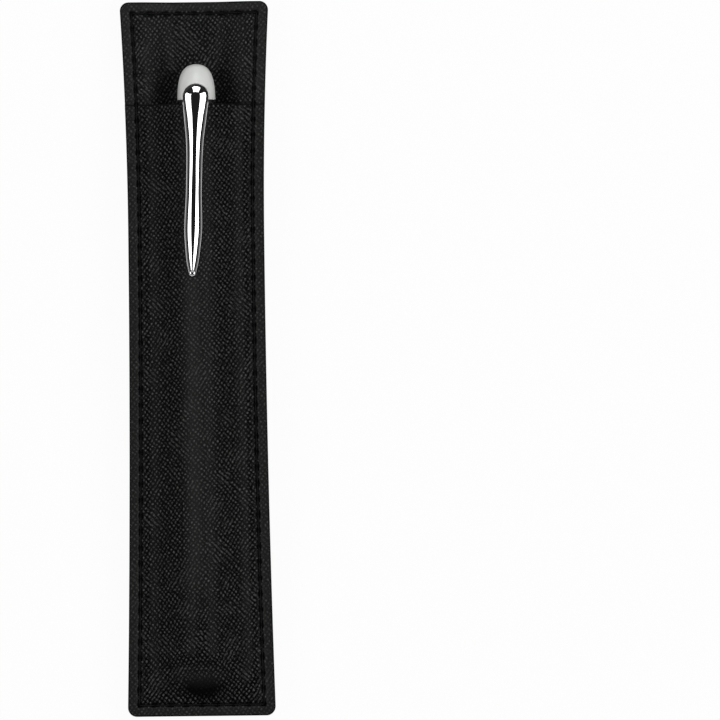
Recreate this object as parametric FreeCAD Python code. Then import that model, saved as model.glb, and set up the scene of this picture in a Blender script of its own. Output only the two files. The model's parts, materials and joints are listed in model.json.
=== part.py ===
"""Fountain pen case: a sewn leather sleeve with a pen in its pocket and the pen's clip over the front.

Millimetres. The case lies on its back. +Z points up out of the front, +Y runs along the pen towards
the mouth, and the origin is on the table under the middle of the case.
"""

import FreeCAD
import Part
import functools
import math
import os

Vector = FreeCAD.Vector
ACROSS = Vector(1, 0, 0)
ALONG = Vector(0, 1, 0)
UP = Vector(0, 0, 1)

# Pen: lengths along its axis
PEN_LENGTH = 143.0
CROWN_HEIGHT = 8.5
CAP_HEADROOM = 15.5
NIB_REACH = 21.0
GRIP_LENGTH = 17.0
TAIL_LENGTH = 3.5
TAIL_PLUG_LENGTH = 4.0
BARREL_END_WALL = 12.0
SECTION_SCREW_LENGTH = 10.0
SOCKET_DEPTH = 3.5
RING_LENGTH = 2.0
BAND_LENGTH = 4.0
NECK_LENGTH = 3.0
CAP_ROOF_DROP = 5.5
SCREW_HEAD_LENGTH = 1.2
SCREW_BITE = 4.25
GRIP_TAPER_LENGTH = 14.45
GRIP_ROLL_LENGTH = 0.8
NIB_HEEL_GAP = 2.0
NIB_SHOULDER_LENGTH = 7.35
NIB_SHOULDER_RUN = 1.0
FEED_NIPPLE_LENGTH = 5.0
FEED_BEAK_LENGTH = 13.65
FEED_SHOULDER_LENGTH = 4.2
FIN_START = 0.54
FIN_PITCH = 0.9
FIN_COUNT = 6
KNOB_GAP = 1.0
KNOB_LENGTH = 10.0
STEM_LENGTH = 6.0
COLLAR_LENGTH = 16.0
COLLAR_GRIP = 6.0
ROD_GAP = 2.0
PISTON_LENGTH = 5.0
PISTON_DROP = 8.0
LIP_GAP = 0.4

# Pen: radii, walls and the steps from one piece to the next
CAP_TUBE_RADIUS = 4.95
CAP_WALL = 0.5
BAND_PROUD = 0.05
BARREL_STEP = 0.05
BARREL_TAIL_WALL = 0.4
CROWN_RADIUS = 4.53
NECK_INSET = 0.43
GRIP_ROOM = 0.35
GRIP_WAIST_DEPTH = 0.5
RING_STEP = 0.1
SECTION_WALL = 0.75
GRIP_ROLL = 0.2
NIB_STEP = 0.27
NIB_THICKNESS = 0.3
NIB_WRAP_HEIGHT = 0.59
NIB_SHOULDER_WIDTH = 4.7
NIB_SLIT = 0.12
BREATHER_RADIUS = 0.5
TIPPING_RADIUS = 0.4
FEED_NIPPLE_RADIUS = 1.0
FEED_BEAK_WIDTH = 2.1
FEED_BEAK_HEIGHT = 1.43
FIN_ROOT = 0.26
CONVERTER_WALL = 0.6
KNOB_STEP = 0.2
KNOB_FLUTES = 12
FLUTE_RADIUS = 0.3
FLUTE_END = 1.0
STEM_STEP = 0.4
ROD_RADIUS = 0.9
PISTON_GROOVE = 0.5
TAIL_PLUG_RADIUS = 2.0
SCREW_RADIUS = 1.0
SCREW_HEAD_RADIUS = 2.4
INNER_CAP_WALL = 0.8

# Case: lengths and widths
CROWN_DROP = 15.0
TAIL_ROOM = 12.0
MOUTH_GAP = 1.0
WAIST_WIDTH = 32.3
TOP_WIDTH = 35.5
BOTTOM_WIDTH = 35.2
WAIST_DROP = 55.0
CORNER_RADIUS = 2.2
MARGIN = 3.6

# Case: leather, board, lining and thread
COVER_THICKNESS = 0.8
INTERLINING_THICKNESS = 0.4
FACING_THICKNESS = 0.8
LINING_THICKNESS = 0.25
POCKET_THICKNESS = 0.85
GLUE_LINE = 0.05
SEAM_INSET = 2.7
STITCH_PITCH = 3.75
STITCH_GAP = 0.7
THREAD_DIAMETER = 0.5
GROOVE_DEPTH = 0.4
GROOVE_SIDE = 0.1
GROOVE_OVERCUT = 0.5

# Case: how it lies round the pen
BACK_FLAT = 9.0
MARGIN_HEIGHT_WAIST = 5.2
MARGIN_HEIGHT_TOP = 3.2
MARGIN_HEIGHT_BOTTOM = 2.8
TOP_CURL = 0.3
TAIL_SLACK = 0.5
PEN_SHIFT = 0.4

# Clip
CLIP_REACH = 42.6
CLIP_HEAD_RISE = 2.3
CLIP_SHOULDER_DROP = 3.4
CLIP_NECK_DROP = 13.6
CLIP_WAIST_DROP = 21.3
CLIP_LEAF_DROP = 31.5
CLIP_HEAD_WIDTH = 5.9
CLIP_WAIST_WIDTH = 3.7
CLIP_LEAF_WIDTH = 4.3
CLIP_TIP_WIDTH = 1.1
CLIP_THICKNESS = 1.15
CLIP_ARCH = 0.75
CLIP_LEAN = 1.86
CLIP_PIN_RADIUS = 0.5
PIN_RISE = 1.5
PIN_COVER = 0.4
HEAD_SET_BACK = 0.5
KNUCKLE_RADIUS = 1.05
KNUCKLE_WIDTH = 3.0
SPRING_THICKNESS = 0.2
SPRING_ROOM = 0.15

# Fits
SLIDE_CLEARANCE = 0.3
RUNNING_CLEARANCE = 0.05
FIT_CLEARANCE = 0.02
THREAD_SEAT = 0.05
FLAT_TRIM = 0.05
TRIM = 1.0
KNEE_PITCH = 0.3
BELL_STEPS = 18

# Pen radii that follow from the cap tube inwards
PEN_RADIUS = CAP_TUBE_RADIUS + BAND_PROUD
CAP_BORE = CAP_TUBE_RADIUS - CAP_WALL
BAND_SEAT = CAP_TUBE_RADIUS - CAP_WALL / 2
NECK_RADIUS = CROWN_RADIUS - NECK_INSET
GRIP_RADIUS = CAP_BORE - GRIP_ROOM
GRIP_WAIST_RADIUS = GRIP_RADIUS - GRIP_WAIST_DEPTH
SECTION_SCREW_RADIUS = GRIP_RADIUS - RING_STEP
SOCKET_RADIUS = SECTION_SCREW_RADIUS - SECTION_WALL
CONVERTER_RADIUS = SOCKET_RADIUS - RUNNING_CLEARANCE
CONVERTER_BORE = CONVERTER_RADIUS + SLIDE_CLEARANCE
TUBE_BORE = CONVERTER_RADIUS - CONVERTER_WALL
KNOB_RADIUS = CONVERTER_RADIUS - KNOB_STEP
STEM_RADIUS = TUBE_BORE - STEM_STEP
NIB_RADIUS = CONVERTER_RADIUS - NIB_STEP
NIB_SEAT_RADIUS = NIB_RADIUS + RUNNING_CLEARANCE
BARREL_RADIUS = CAP_TUBE_RADIUS - BARREL_STEP
BARREL_TAIL_RADIUS = CONVERTER_BORE + BARREL_TAIL_WALL

# Places along the case that follow from the sizes above
CASE_LENGTH = TAIL_ROOM + PEN_LENGTH + CROWN_DROP
TOP_Y = CASE_LENGTH / 2
BOTTOM_Y = -CASE_LENGTH / 2
WAIST_Y = TOP_Y - WAIST_DROP
CROWN_TOP_Y = TOP_Y - CROWN_DROP
CROWN_BASE_Y = CROWN_TOP_Y - CROWN_HEIGHT
MOUTH_Y = CROWN_BASE_Y - MOUTH_GAP
TAIL_Y = CROWN_TOP_Y - PEN_LENGTH
LIP_Y = CROWN_BASE_Y - CAP_HEADROOM - NIB_REACH - GRIP_LENGTH
BULGE_END_Y = BOTTOM_Y + MARGIN
BULGE_FULL_Y = TAIL_Y + TAIL_LENGTH
CAP_ROOF_Y = CROWN_BASE_Y - CAP_ROOF_DROP
SCREW_TOP_Y = CROWN_BASE_Y + SCREW_BITE
PIN_Y = CROWN_BASE_Y + PIN_RISE
HEAD_CENTRE_Y = PIN_Y - HEAD_SET_BACK
SECTION_FRONT_Y = LIP_Y + GRIP_LENGTH
SOCKET_END_Y = LIP_Y + SOCKET_DEPTH
NIB_TIP_Y = SECTION_FRONT_Y + NIB_REACH
BARREL_MOUTH_Y = LIP_Y - LIP_GAP
BARREL_LOW_Y = TAIL_Y + TAIL_LENGTH
BARREL_BORE_END_Y = TAIL_Y + BARREL_END_WALL
KNOB_Y = BARREL_BORE_END_Y + KNOB_GAP
KNOB_TOP_Y = KNOB_Y + KNOB_LENGTH
COLLAR_TOP_Y = KNOB_TOP_Y + COLLAR_LENGTH
TUBE_LOW_Y = COLLAR_TOP_Y - COLLAR_GRIP
PISTON_Y = LIP_Y - PISTON_DROP

# Heights that follow from the stack of layers
BACK_STACK = COVER_THICKNESS + INTERLINING_THICKNESS + FACING_THICKNESS + 2 * GLUE_LINE
POCKET_STACK = LINING_THICKNESS + GLUE_LINE + POCKET_THICKNESS
FULL_STACK = BACK_STACK + GLUE_LINE + POCKET_STACK
GROOVE_WIDTH = THREAD_DIAMETER + 2 * GROOVE_SIDE
THREAD_PROUD = THREAD_SEAT + THREAD_DIAMETER - GROOVE_DEPTH
PEN_Z = BACK_STACK + TOP_CURL + THREAD_PROUD + SLIDE_CLEARANCE + max(PEN_RADIUS, CROWN_RADIUS)
CREST_RISE = PEN_RADIUS + SLIDE_CLEARANCE + POCKET_STACK

# Heights of the clip's pieces above the pen's axis
SLOT_FLOOR_Z = SCREW_RADIUS + SLIDE_CLEARANCE
PIN_Z = SLOT_FLOOR_Z + SPRING_THICKNESS + SPRING_ROOM + KNUCKLE_RADIUS
HEAD_FLOOR_Z = PIN_Z + KNUCKLE_RADIUS - SLIDE_CLEARANCE
CLIP_UNDER_Z = CREST_RISE + SLIDE_CLEARANCE
CLIP_PIN_LENGTH = 2 * (math.sqrt(CROWN_RADIUS**2 - PIN_Z**2) - PIN_COVER)


def ease(share):
    """Smooth step from 0 to 1 as share runs from 0 to 1."""
    return 0.5 - 0.5 * math.cos(math.pi * min(1.0, max(0.0, share)))


def evenly(start, stop, count):
    """Even steps from start to stop, without stop itself."""
    return [start + (stop - start) * i / count for i in range(count)]


def towards_ends(y, waist, top, bottom):
    """A size that is `waist` at the waist and follows parabolas to `top` and `bottom` at the case's ends."""
    if y > WAIST_Y:
        return waist + (top - waist) * ((y - WAIST_Y) / (TOP_Y - WAIST_Y)) ** 2
    return waist + (bottom - waist) * ((WAIST_Y - y) / (WAIST_Y - BOTTOM_Y)) ** 2


def edge_half(y):
    """Half the case's width, which is drawn in where the pen fills it most."""
    return towards_ends(y, WAIST_WIDTH, TOP_WIDTH, BOTTOM_WIDTH) / 2


def bell_half(y):
    """Half the width between the flat sewn margins."""
    return edge_half(y) - MARGIN


def margin_height(y):
    """Height of the sewn margin's underside, which the pen lifts off the table."""
    return towards_ends(y, MARGIN_HEIGHT_WAIST, MARGIN_HEIGHT_TOP, MARGIN_HEIGHT_BOTTOM)


def fullness(y):
    """1 beside the pen, falling to 0 at the bottom seam."""
    return ease((y - BULGE_END_Y) / (BULGE_FULL_Y - BULGE_END_Y))


def back_height(x, y):
    """Height of the back cover's outer face."""
    curl = TOP_CURL * (max(0.0, y - MOUTH_Y) / (TOP_Y - MOUTH_Y)) ** 2
    margin = margin_height(y)
    depth = (margin + FLAT_TRIM - curl) * fullness(y)
    rise = ease((abs(x) - BACK_FLAT / 2) / (bell_half(y) - BACK_FLAT / 2))
    return margin - depth * (1 - rise)


def crest_height(y):
    """Height of the pocket's ridge over the pen, which slims towards the pen's tail."""
    share = min(1.0, max(0.0, (LIP_Y - y) / (LIP_Y - TAIL_Y)))
    slim = (BARREL_RADIUS - BARREL_TAIL_RADIUS - TAIL_SLACK) * share
    return PEN_Z + CREST_RISE - slim


def ridge_flat(y, rise):
    """Half-width of the ridge's flat top: the least that keeps the panel clear of the pen on both sides."""
    radius = CREST_RISE
    step = 0.1
    samples = evenly(0.0, radius, 20)
    pen_drops = [radius - math.sqrt(radius**2 - x**2) + FIT_CLEARANCE for x in samples]
    flat = 0.0
    while flat < radius:
        run = bell_half(y) - PEN_SHIFT - flat
        drops = [rise * ease((x - flat) / run) for x in samples]
        if all(drop <= pen_drop for drop, pen_drop in zip(drops, pen_drops)):
            return flat
        flat += step
    return flat


def pocket_height(x, y):
    """Height of the pocket panel's outer face, whose ridge runs over the pen's axis."""
    margin = margin_height(y) + FULL_STACK
    rise = crest_height(y) - margin
    flat = ridge_flat(y, rise)
    off_axis = x - PEN_SHIFT
    run = bell_half(y) - math.copysign(PEN_SHIFT, off_axis) - flat
    fall = ease((abs(off_axis) - flat) / run)
    return margin + rise * fullness(y) * (1 - fall)


def slope_across(height, x, y):
    """Slope of a face across the case."""
    probe = 0.01
    return (height(x + probe, y) - height(x - probe, y)) / (2 * probe)


def section_places(y):
    """Places across a section for its points, closest at the knees between the bell and the margins."""
    knee = bell_half(y)
    inner = knee - 3 * KNEE_PITCH
    right = [knee - KNEE_PITCH, knee, knee + KNEE_PITCH, knee + 3 * KNEE_PITCH, knee + MARGIN + TRIM]
    return [-x for x in right[::-1]] + evenly(-inner, inner, BELL_STEPS) + [inner] + right


def skin_line(height, inwards, y, depth):
    """Curve across the case, `depth` inside an outer face and square to it; inwards is +1 up or -1 down."""
    points = []
    for x in section_places(y):
        slope = slope_across(height, x, y)
        along_normal = inwards * depth / math.hypot(1, slope)
        points.append(Vector(x - slope * along_normal, y, height(x, y) + along_normal))
    curve = Part.BSplineCurve()
    curve.interpolate(Points=points, Parameters=section_places(WAIST_Y))
    return curve.toShape()


def stations(top):
    """Places along the case for its cross-sections, closest where the pocket falls to the bottom seam."""
    places = evenly(BOTTOM_Y - TRIM, BULGE_END_Y, 3) + evenly(BULGE_END_Y, BULGE_FULL_Y, 8)
    places += evenly(BULGE_FULL_Y, MOUTH_Y, 8)
    if top > MOUTH_Y:
        places += evenly(MOUTH_Y, top, 5)
    return places + [top]


@functools.cache
def case_outline(inset=0.0):
    """Upright prism of the case's cut outline, or of a line inset from it, with parabolic sides."""
    below = -2 * TRIM
    height = PEN_Z + CREST_RISE + 4 * TRIM
    ends = (TOP_Y - inset, BOTTOM_Y + inset)

    def half(y):
        return edge_half(y) - inset

    def side(sign, end_y):
        middle = Vector(sign * half(WAIST_Y), (WAIST_Y + end_y) / 2, below)
        curve = Part.BezierCurve()
        waist = Vector(sign * half(WAIST_Y), WAIST_Y, below)
        curve.setPoles([waist, middle, Vector(sign * half(end_y), end_y, below)])
        return curve.toShape()

    sides = [side(sign, y) for sign in (1, -1) for y in ends]
    across = [Part.makeLine(Vector(-half(y), y, below), Vector(half(y), y, below)) for y in ends]
    prism = Part.Face(Part.Wire(Part.__sortEdges__(sides + across))).extrude(UP * height)
    if inset >= CORNER_RADIUS:
        return prism
    upright = [e for e in prism.Edges if e.BoundBox.ZLength > height / 2]
    corners = [e for e in upright if abs(abs(e.CenterOfMass.y) - ends[0]) < TRIM]
    return prism.makeFillet(CORNER_RADIUS - inset, corners)


@functools.cache
def seam_ring():
    """Upright ring along the seam, as wide as the stitch groove."""
    half = GROOVE_WIDTH / 2
    return case_outline(SEAM_INSET - half).cut(case_outline(SEAM_INSET + half))


def skin(height, inwards, start, thickness, top):
    """Layer that lies `start` inside an outer face, from below the bottom edge up to `top`."""
    wires = []
    for y in stations(top):
        outer = skin_line(height, inwards, y, start)
        inner = skin_line(height, inwards, y, start + thickness)
        left = Part.makeLine(outer.Vertexes[0].Point, inner.Vertexes[0].Point)
        right = Part.makeLine(outer.Vertexes[-1].Point, inner.Vertexes[-1].Point)
        wires.append(Part.Wire([outer, right, inner, left]))
    return Part.makeLoft(wires, True, False)


def sheet(height, inwards, start, thickness, top):
    """Layer cut to the case's outline."""
    return skin(height, inwards, start, thickness, top).common(case_outline())


def groove(height, inwards, start, top):
    """Channel that the stitches lie in: a band along the seam from `start` inside an outer face."""
    return skin(height, inwards, start, GROOVE_OVERCUT + GROOVE_DEPTH, top).common(seam_ring())


def back_cover():
    """Outer back leather, flattened where it rests on the table."""
    cover = sheet(back_height, 1, 0.0, COVER_THICKNESS, TOP_Y + TRIM)
    corner = Vector(-CASE_LENGTH, -CASE_LENGTH, -CASE_LENGTH)
    table = Part.makeBox(2 * CASE_LENGTH, 2 * CASE_LENGTH, CASE_LENGTH, corner)
    return cover.cut(table).cut(groove(back_height, 1, -GROOVE_OVERCUT, TOP_Y + TRIM))


def back_interlining():
    """Reinforcement board between the two back leathers."""
    return sheet(back_height, 1, COVER_THICKNESS + GLUE_LINE, INTERLINING_THICKNESS, TOP_Y + TRIM)


def inner_facing():
    """Leather that faces the pen and shows above the pocket's mouth, where the stitches groove it."""
    facing = sheet(back_height, 1, BACK_STACK - FACING_THICKNESS, FACING_THICKNESS, TOP_Y + TRIM)
    corner = Vector(-CASE_LENGTH, MOUTH_Y, -CASE_LENGTH)
    bare = Part.makeBox(2 * CASE_LENGTH, CASE_LENGTH, 2 * CASE_LENGTH, corner)
    return facing.cut(groove(back_height, 1, BACK_STACK - GROOVE_DEPTH, TOP_Y + TRIM).common(bare))


def pocket_panel():
    """Front leather over the pen."""
    panel = sheet(pocket_height, -1, 0.0, POCKET_THICKNESS, MOUTH_Y)
    return panel.cut(groove(pocket_height, -1, -GROOVE_OVERCUT, MOUTH_Y))


def pocket_lining():
    """Cloth laminated to the inside of the pocket panel."""
    return sheet(pocket_height, -1, POCKET_THICKNESS + GLUE_LINE, LINING_THICKNESS, MOUTH_Y)


def front_height(x, y):
    """Height of the face that the front stitches lie on: the pocket, or the facing above its mouth."""
    if y < MOUTH_Y:
        return pocket_height(x, y)
    return back_height(x, y) + BACK_STACK * math.hypot(1, slope_across(back_height, x, y))


def seam_corners(y):
    """The two ends of a row of stitches across the case."""
    half = edge_half(y) - SEAM_INSET
    return -half, half


def seam_runs():
    """The seam's runs as points one stitch apart: two sides below the mouth, two above it, and two rows."""
    low = BOTTOM_Y + SEAM_INSET
    high = TOP_Y - SEAM_INSET
    runs = []
    for start, stop in ((low, MOUTH_Y - FIT_CLEARANCE), (MOUTH_Y + FIT_CLEARANCE, high)):
        count = round((stop - start) / STITCH_PITCH)
        ys = [start + (stop - start) * i / count for i in range(count + 1)]
        runs += [[(seam_corners(y)[side], y) for y in ys] for side in (0, 1)]
    for y in (low, high):
        left, right = seam_corners(y)
        count = round((right - left) / STITCH_PITCH)
        runs.append([(left + (right - left) * i / count, y) for i in range(count + 1)])
    return runs


def stitch(height, side, start, end):
    """One stitch between two needle holes, in the groove of a face; side is +1 on top or -1 underneath."""
    first = Vector(*start, height(*start))
    last = Vector(*end, height(*end))
    chord = [first + (last - first) * share for share in evenly(0.0, 1.0, 8)]
    bow = max(side * (height(p.x, p.y) - p.z) for p in chord)
    run = (last - first).normalize()
    lift = (THREAD_PROUD - THREAD_DIAMETER / 2) / math.hypot(run.x, run.y) + bow
    base = first + run * (STITCH_GAP / 2) + UP * side * lift
    length = (last - first).Length - STITCH_GAP
    return Part.makeCylinder(THREAD_DIAMETER / 2, length, base, run)


def thread(height, side):
    """Every stitch of the seam on one face of the case."""
    stitches = []
    for run in seam_runs():
        stitches += [stitch(height, side, a, b) for a, b in zip(run, run[1:])]
    return Part.makeCompound(stitches)


def on_pen(shape):
    """Moves a shape made about the Y axis onto the pen's own axis."""
    return shape.translated(Vector(PEN_SHIFT, 0, PEN_Z))


def turned(*outline):
    """Solid of revolution about the Y axis from (radius, y) corners."""
    points = [Vector(r, y, 0) for r, y in outline]
    return Part.Face(Part.makePolygon(points + points[:1])).revolve(Vector(), ALONG, 360)


def plate(z_low, z_high, *outline):
    """Upright prism from (x, y) corners between two heights."""
    points = [Vector(x, y, z_low) for x, y in outline]
    return Part.Face(Part.makePolygon(points + points[:1])).extrude(UP * (z_high - z_low))


def crown_dome():
    """Solid of the crown before its cuts: a tall dome with a flat base."""
    profile = [(0.55, 0.93), (0.82, 0.70), (0.95, 0.44), (1.0, 0.0)]
    points = [Vector(CROWN_RADIUS * r, CROWN_BASE_Y + CROWN_HEIGHT * h, 0) for r, h in profile]
    top = Vector(0, CROWN_TOP_Y, 0)
    base = Vector(0, CROWN_BASE_Y, 0)
    outwards = ACROSS * CROWN_HEIGHT
    down = ALONG * -CROWN_HEIGHT
    dome = Part.BSplineCurve()
    dome.interpolate([top] + points, InitialTangent=outwards, FinalTangent=down)
    edges = [dome.toShape(), Part.makeLine(points[-1], base), Part.makeLine(base, top)]
    return Part.Face(Part.Wire(edges)).revolve(Vector(), ALONG, 360)


def head_arch(radius, z_low, y_low):
    """Upright prism with a half-round top end: the shape of the clip's head and of its notch."""
    tall = 3 * CROWN_RADIUS
    round_end = Part.makeCylinder(radius, tall, Vector(0, HEAD_CENTRE_Y, z_low), UP)
    straight = Part.makeBox(2 * radius, HEAD_CENTRE_Y - y_low, tall, Vector(-radius, y_low, z_low))
    below = Part.makeBox(2 * tall, tall, tall, Vector(-tall, y_low - tall, z_low))
    return round_end.fuse(straight).cut(below).removeSplitter()


def cap_crown():
    """Pale dome on top of the cap, notched in front for the clip's head and slotted for its knuckle."""
    notch = head_arch(CLIP_HEAD_WIDTH / 2 + SLIDE_CLEARANCE, HEAD_FLOOR_Z, CROWN_BASE_Y - TRIM)
    slot_half = KNUCKLE_WIDTH / 2 + SLIDE_CLEARANCE
    slot_length = PIN_RISE + KNUCKLE_RADIUS + SLIDE_CLEARANCE
    slot_corner = Vector(-slot_half, CROWN_BASE_Y, SLOT_FLOOR_Z)
    slot = Part.makeBox(2 * slot_half, slot_length, 2 * CROWN_RADIUS, slot_corner)
    pin_hole = clip_pin_bar(CLIP_PIN_RADIUS + FIT_CLEARANCE, CLIP_PIN_LENGTH + 2 * FIT_CLEARANCE)
    screw_hole = turned((0, 0), (SCREW_RADIUS, 0), (SCREW_RADIUS, SCREW_TOP_Y), (0, SCREW_TOP_Y))
    return on_pen(crown_dome().cut(notch).cut(slot).cut(pin_hole).cut(screw_hole))


def clip_pin_bar(radius, length):
    """Bar across the crown on the clip's pivot."""
    return Part.makeCylinder(radius, length, Vector(-length / 2, PIN_Y, PIN_Z), ACROSS)


def clip_pin():
    """Pivot pin of the clip."""
    return on_pen(clip_pin_bar(CLIP_PIN_RADIUS, CLIP_PIN_LENGTH))


def clip_spring():
    """Leaf spring on the floor of the crown's slot, under the clip's knuckle."""
    half = KNUCKLE_WIDTH / 2
    floor = SLOT_FLOOR_Z + FIT_CLEARANCE
    low = CROWN_BASE_Y + RUNNING_CLEARANCE
    length = PIN_Y + KNUCKLE_RADIUS - low
    return on_pen(Part.makeBox(KNUCKLE_WIDTH, length, SPRING_THICKNESS, Vector(-half, low, floor)))


def clip_blade():
    """The clip's blade: domed sections from its round head, past a slim waist, to a leaf-shaped point."""
    head = CLIP_HEAD_WIDTH / 2
    waist = CLIP_WAIST_WIDTH / 2
    leaf = CLIP_LEAF_WIDTH / 2
    tip = CLIP_TIP_WIDTH / 2
    taper = CLIP_REACH - CLIP_LEAF_DROP
    # (drop below the pin, half-width, underside as a share of the arch, share of the thickness)
    shape = [
        (-CLIP_HEAD_RISE, 0.3 * head, -1.4, 0.25),
        (-0.7 * CLIP_HEAD_RISE, 0.75 * head, -0.7, 0.6),
        (0.0, head, 0.4, 1.0),
        (CLIP_SHOULDER_DROP, 0.97 * head, 0.6, 1.05),
        (CLIP_NECK_DROP, 1.06 * waist, 1.0, 0.95),
        (CLIP_WAIST_DROP, waist, 1.0, 0.95),
        (CLIP_LEAF_DROP, leaf, 0.6, 1.0),
        (CLIP_LEAF_DROP + 0.54 * taper, 0.82 * leaf, 0.2, 0.9),
        (CLIP_LEAF_DROP + 0.85 * taper, 0.38 * (leaf + tip), 0.06, 0.75),
        (CLIP_REACH, tip, 0.0, 0.55),
    ]
    wires = []
    for drop, half, lift, thickness in shape:
        middle = -math.tan(math.radians(CLIP_LEAN)) * max(0.0, drop)
        low = CLIP_UNDER_Z + CLIP_ARCH * lift
        left = Vector(middle - half, PIN_Y - drop, low)
        right = Vector(middle + half, PIN_Y - drop, low)
        top = Vector(middle, PIN_Y - drop, low + CLIP_THICKNESS * thickness)
        wires.append(Part.Wire([Part.Arc(left, top, right).toShape(), Part.makeLine(right, left)]))
    return Part.makeLoft(wires, True, False)


def clip():
    """Sprung clip: blade, head block in the crown's notch, and a knuckle on the pivot pin."""
    floor = HEAD_FLOOR_Z + SLIDE_CLEARANCE
    block = head_arch(CLIP_HEAD_WIDTH / 2, floor, PIN_Y - KNUCKLE_RADIUS)
    reach = 2 * CLIP_HEAD_WIDTH
    corner = Vector(-reach, PIN_Y - reach, floor)
    under_blade = Part.makeBox(2 * reach, 2 * reach, CLIP_UNDER_Z - floor, corner)
    half = KNUCKLE_WIDTH / 2
    knuckle = Part.makeCylinder(KNUCKLE_RADIUS, KNUCKLE_WIDTH, Vector(-half, PIN_Y, PIN_Z), ACROSS)
    lug_height = floor - PIN_Z + KNUCKLE_RADIUS
    lug_corner = Vector(-half, PIN_Y - KNUCKLE_RADIUS, PIN_Z)
    lug = Part.makeBox(KNUCKLE_WIDTH, 2 * KNUCKLE_RADIUS, lug_height, lug_corner)
    hole = clip_pin_bar(CLIP_PIN_RADIUS + RUNNING_CLEARANCE, 2 * KNUCKLE_WIDTH)
    whole = clip_blade().fuse([block.common(under_blade), knuckle, lug]).cut(hole)
    return on_pen(whole.removeSplitter())


def cap_tube():
    """Lacquered cap tube with a stepped neck under the crown and a seat for the band at its lip."""
    shoulder = CROWN_BASE_Y - NECK_LENGTH
    body = turned(
        (CAP_BORE, LIP_Y),
        (BAND_SEAT, LIP_Y),
        (BAND_SEAT, LIP_Y + BAND_LENGTH),
        (CAP_TUBE_RADIUS, LIP_Y + BAND_LENGTH),
        (CAP_TUBE_RADIUS, shoulder - 2 * CAP_WALL),
        (NECK_RADIUS + CAP_WALL / 2, shoulder),
        (NECK_RADIUS, shoulder),
        (NECK_RADIUS, CROWN_BASE_Y),
        (SCREW_RADIUS + FIT_CLEARANCE, CROWN_BASE_Y),
        (SCREW_RADIUS + FIT_CLEARANCE, CAP_ROOF_Y),
        (CAP_BORE, CAP_ROOF_Y),
    )
    return on_pen(body)


def cap_band():
    """Bright ring round the cap's lip."""
    inner = BAND_SEAT + FIT_CLEARANCE
    return on_pen(
        turned(
            (inner, LIP_Y),
            (PEN_RADIUS, LIP_Y),
            (PEN_RADIUS, LIP_Y + BAND_LENGTH - FIT_CLEARANCE),
            (inner, LIP_Y + BAND_LENGTH - FIT_CLEARANCE),
        )
    )


def crown_screw():
    """Screw inside the cap that holds the crown on."""
    shank = SCREW_RADIUS - FIT_CLEARANCE
    low = CAP_ROOF_Y - SCREW_HEAD_LENGTH
    high = SCREW_TOP_Y - SLIDE_CLEARANCE
    return on_pen(
        turned(
            (0, low),
            (SCREW_HEAD_RADIUS, low),
            (SCREW_HEAD_RADIUS, CAP_ROOF_Y),
            (shank, CAP_ROOF_Y),
            (shank, high),
            (0, high),
        )
    )


def inner_cap():
    """Plastic liner in the cap that seals against the grip section's front rim."""
    outer = CAP_BORE - FIT_CLEARANCE
    inner = outer - INNER_CAP_WALL
    rim = SECTION_FRONT_Y + SLIDE_CLEARANCE
    roof = CAP_ROOF_Y - SCREW_HEAD_LENGTH - RUNNING_CLEARANCE
    return on_pen(
        turned(
            (inner, rim),
            (outer, rim),
            (outer, roof),
            (0, roof),
            (0, roof - INNER_CAP_WALL),
            (inner, roof - INNER_CAP_WALL),
        )
    )


def barrel():
    """Lacquered barrel, bored for the converter and opened out at its mouth for the section's screw."""
    mouth_bore = SECTION_SCREW_RADIUS + RUNNING_CLEARANCE
    seat_y = BARREL_MOUTH_Y - SECTION_SCREW_LENGTH - SLIDE_CLEARANCE
    plug_bore = TAIL_PLUG_RADIUS + FIT_CLEARANCE
    body = turned(
        (plug_bore, BARREL_LOW_Y),
        (BARREL_TAIL_RADIUS, BARREL_LOW_Y),
        (BARREL_RADIUS, BARREL_MOUTH_Y),
        (mouth_bore, BARREL_MOUTH_Y),
        (mouth_bore, seat_y),
        (CONVERTER_BORE, seat_y),
        (CONVERTER_BORE, BARREL_BORE_END_Y),
        (plug_bore, BARREL_BORE_END_Y),
    )
    return on_pen(body)


def barrel_tail():
    """Bright rounded tail with a plug that seats in the barrel's end."""
    shoulder = Vector(BARREL_TAIL_RADIUS, BARREL_LOW_Y, 0)
    flank = Vector(0.86 * BARREL_TAIL_RADIUS, TAIL_Y + 0.3 * TAIL_LENGTH, 0)
    tip = Vector(0, TAIL_Y, 0)
    down = ALONG * -TAIL_LENGTH
    inwards = ACROSS * -TAIL_LENGTH
    round_end = Part.BSplineCurve()
    round_end.interpolate([shoulder, flank, tip], InitialTangent=down, FinalTangent=inwards)
    plug_top = BARREL_LOW_Y + TAIL_PLUG_LENGTH
    plug = [(0, plug_top), (TAIL_PLUG_RADIUS, plug_top), (TAIL_PLUG_RADIUS, BARREL_LOW_Y)]
    corners = [tip] + [Vector(r, y, 0) for r, y in plug] + [shoulder]
    edges = [round_end.toShape()] + [Part.makeLine(a, b) for a, b in zip(corners, corners[1:])]
    return on_pen(Part.Face(Part.Wire(edges)).revolve(Vector(), ALONG, 360))


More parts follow.
